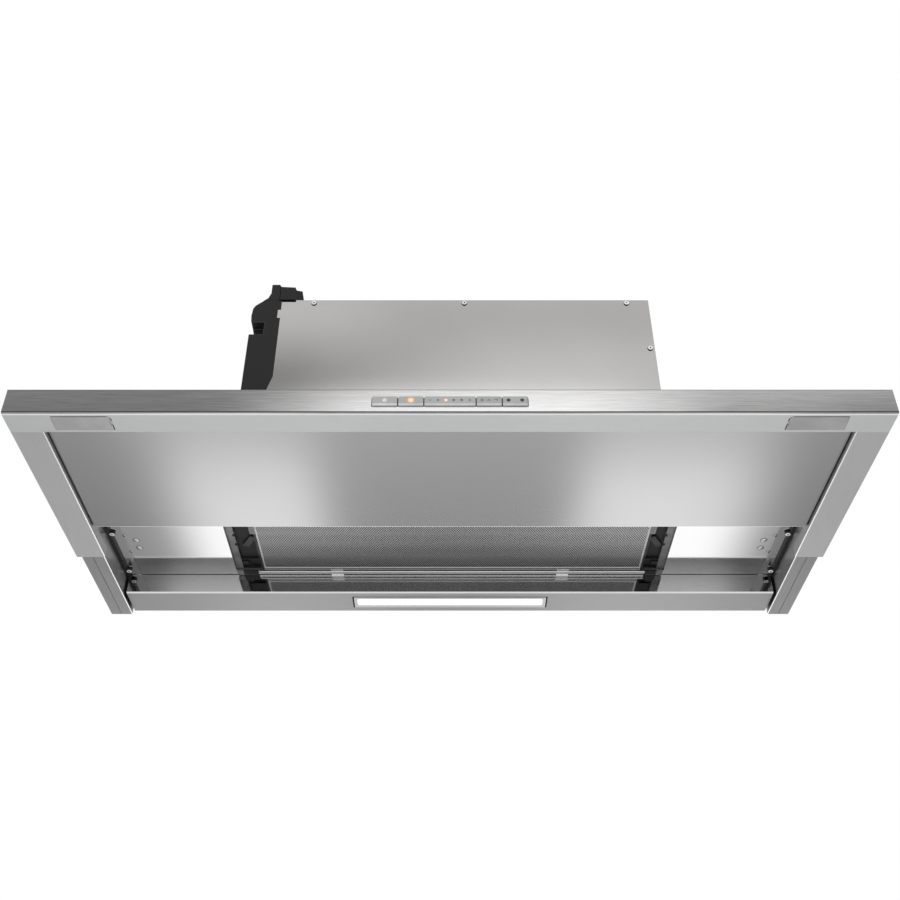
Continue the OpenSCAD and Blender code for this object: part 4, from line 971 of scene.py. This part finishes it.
# ---------------------------------------------------------------- studio
def build_world():
    """White to the camera, a soft studio to glossy rays and an even light to the rest."""
    w = bpy.data.worlds.new("studio")
    bpy.context.scene.world = w
    w.use_nodes = True
    w.node_tree.nodes.clear()
    t = Tree(w.node_tree)
    d = t.add("ShaderNodeSeparateXYZ")
    t.link(t.add("ShaderNodeTexCoord").outputs["Generated"], d.inputs[0])
    x, y, z = d.outputs
    # a direction as slopes: sideways and up or down against depth, and sideways against height
    far = t.math("MAXIMUM", t.math("ABSOLUTE", y), 0.05)
    down = t.math("MAXIMUM", t.math("ABSOLUTE", z), 0.05)
    side = t.math("DIVIDE", x, far)
    tilt = t.math("DIVIDE", down, far)
    strip = t.math("DIVIDE", x, down)
    # below and behind: two long softboxes that run under the hood, and a bright horizon
    left = t.patch(strip, -0.50, -0.395, -0.26, -0.17)
    right = t.patch(strip, 0.17, 0.26, 0.44, 0.57)
    boxes = t.math("MULTIPLY", t.math("ADD", left, right), t.span(tilt, 0.67, 0.765, 0.74, 0.14))
    base = t.math("MULTIPLY", t.span(tilt, 0.62, 0.77, 0.40, 0.56, False),
                  t.span(t.math("ABSOLUTE", strip), 0.44, 0.56, 1.0, 0.72))
    below = t.math("ADD", t.math("ADD", base, boxes), t.span(tilt, 0.40, 0.50, 0.95, 0.0))
    # below and in front: bright far off, with a dark floor edge nearer the hood
    low_front = t.math("ADD", t.span(tilt, 0.559, 0.585, 1.03, 0.0),
                       t.span(tilt, 0.591, 0.736, 0.10, 0.58, False))
    wide = t.math("ABSOLUTE", side)
    dip = t.patch(wide, 0.280, 0.300, 0.322, 0.345, 0.75)
    low_front = t.math("MULTIPLY", low_front, t.math("SUBTRACT", 1.0, dip))
    # above and in front: a wide softbox and a weak one beside it, seen in the fascia, and a
    # slow fall-off, seen in the housing's front plate higher up
    fascia = t.math("ADD", t.patch(side, -0.28, -0.05, 0.14, 0.34, 1.13),
                    t.patch(side, 0.19, 0.29, 0.40, 0.50, 0.18))
    fascia = t.math("ADD", fascia, 0.21)
    plate = t.math("MULTIPLY", t.span(side, -0.18, 0.07, 0.22, 0.81, False),
                   t.span(tilt, 0.836, 0.857, 0.84, 1.0))
    high = t.span(side, -0.22, -0.01, 0.78, 0.575)
    above = t.blend(t.span(tilt, 0.812, 0.820), fascia, plate)
    above = t.blend(t.span(tilt, 0.838, 0.925, 0, 1, False), above, high)
    above = t.blend(t.span(tilt, 0.94, 0.99), above, 0.68)
    is_up = t.span(z, -0.03, 0.03)
    is_back = t.span(y, -0.03, 0.03)
    front_side = t.blend(is_up, low_front, above)
    back_side = t.blend(is_up, below, 0.65)
    level = t.blend(is_back, front_side, back_side)
    # a lamp straight below brightens the folds
    nadir = t.math("MULTIPLY", t.math("SUBTRACT", 1.0, is_up), t.span(tilt, 1.05, 1.3))
    level = t.math("ADD", level, t.math("MULTIPLY", nadir, 0.75))
    path = t.add("ShaderNodeLightPath")
    shiny = t.math("MAXIMUM", path.outputs["Is Glossy Ray"], path.outputs["Is Transmission Ray"])
    level = t.blend(shiny, 0.62, level)
    level = t.blend(path.outputs["Is Camera Ray"], level, 1.0)
    bg = t.add("ShaderNodeBackground")
    bg.inputs["Color"].default_value = (1, 1, 1, 1)
    t.link(level, bg.inputs["Strength"])
    out = t.add("ShaderNodeOutputWorld")
    t.link(bg.outputs[0], out.inputs["Surface"])


def area(name, place, target, size, power):
    """A soft lamp that isn't seen itself."""
    d = bpy.data.lights.new(name, "AREA")
    d.shape = "RECTANGLE"
    d.size, d.size_y = size
    d.energy = power
    o = bpy.data.objects.new(name, d)
    o.location = place
    o.rotation_mode = "QUATERNION"
    o.rotation_quaternion = (Vector(target) - Vector(place)).to_track_quat("-Z", "Y")
    o.visible_camera = False
    o.visible_glossy = False
    bpy.context.scene.collection.objects.link(o)


build_world()
area("key", (0.5, -1.8, 1.5), (0, -0.2, 0.1), (1.6, 1.0), 16)
area("fill", (-0.6, -1.2, -1.0), (0, -0.2, 0), (1.4, 1.0), 8)
area("rim", (0.3, 1.6, 1.4), (0, -0.1, 0.1), (1.6, 1.0), 10)


def build_floor():
    """A pale floor well below, since the hood hangs over it."""
    bm = bmesh.new()
    bmesh.ops.create_grid(bm, x_segments=8, y_segments=8, size=6)
    me = bpy.data.meshes.new("floor")
    bm.to_mesh(me)
    bm.free()
    o = bpy.data.objects.new("floor", me)
    o.location = (0, 0, -1.25)
    bpy.context.scene.collection.objects.link(o)
    m, t, bsdf, where = material("floor")
    bsdf.inputs["Roughness"].default_value = 0.9
    t.link(t.mix(t.noise(where, 3.0), grey(0.80), grey(0.84)), bsdf.inputs["Base Color"])
    paint(o, m)
    o.visible_glossy = False


build_floor()

# ---------------------------------------------------------------- camera
PHOTO = 900          # the photograph's width in pixels
FOCAL_PX = 1104.669  # the fitted lens, in the same pixels
PITCH = 36.1833      # degrees upward
SENSOR = 36.0        # millimetres
cam_data = bpy.data.cameras.new("camera")
cam_data.sensor_width = SENSOR
cam_data.lens = FOCAL_PX * SENSOR / PHOTO
camera = bpy.data.objects.new("camera", cam_data)
camera.location = (0, -1.29397, -0.713363)
camera.rotation_euler = (math.radians(90 + PITCH), 0, 0)
bpy.context.scene.collection.objects.link(camera)
bpy.context.scene.camera = camera

bpy.context.scene.view_settings.view_transform = "Standard"
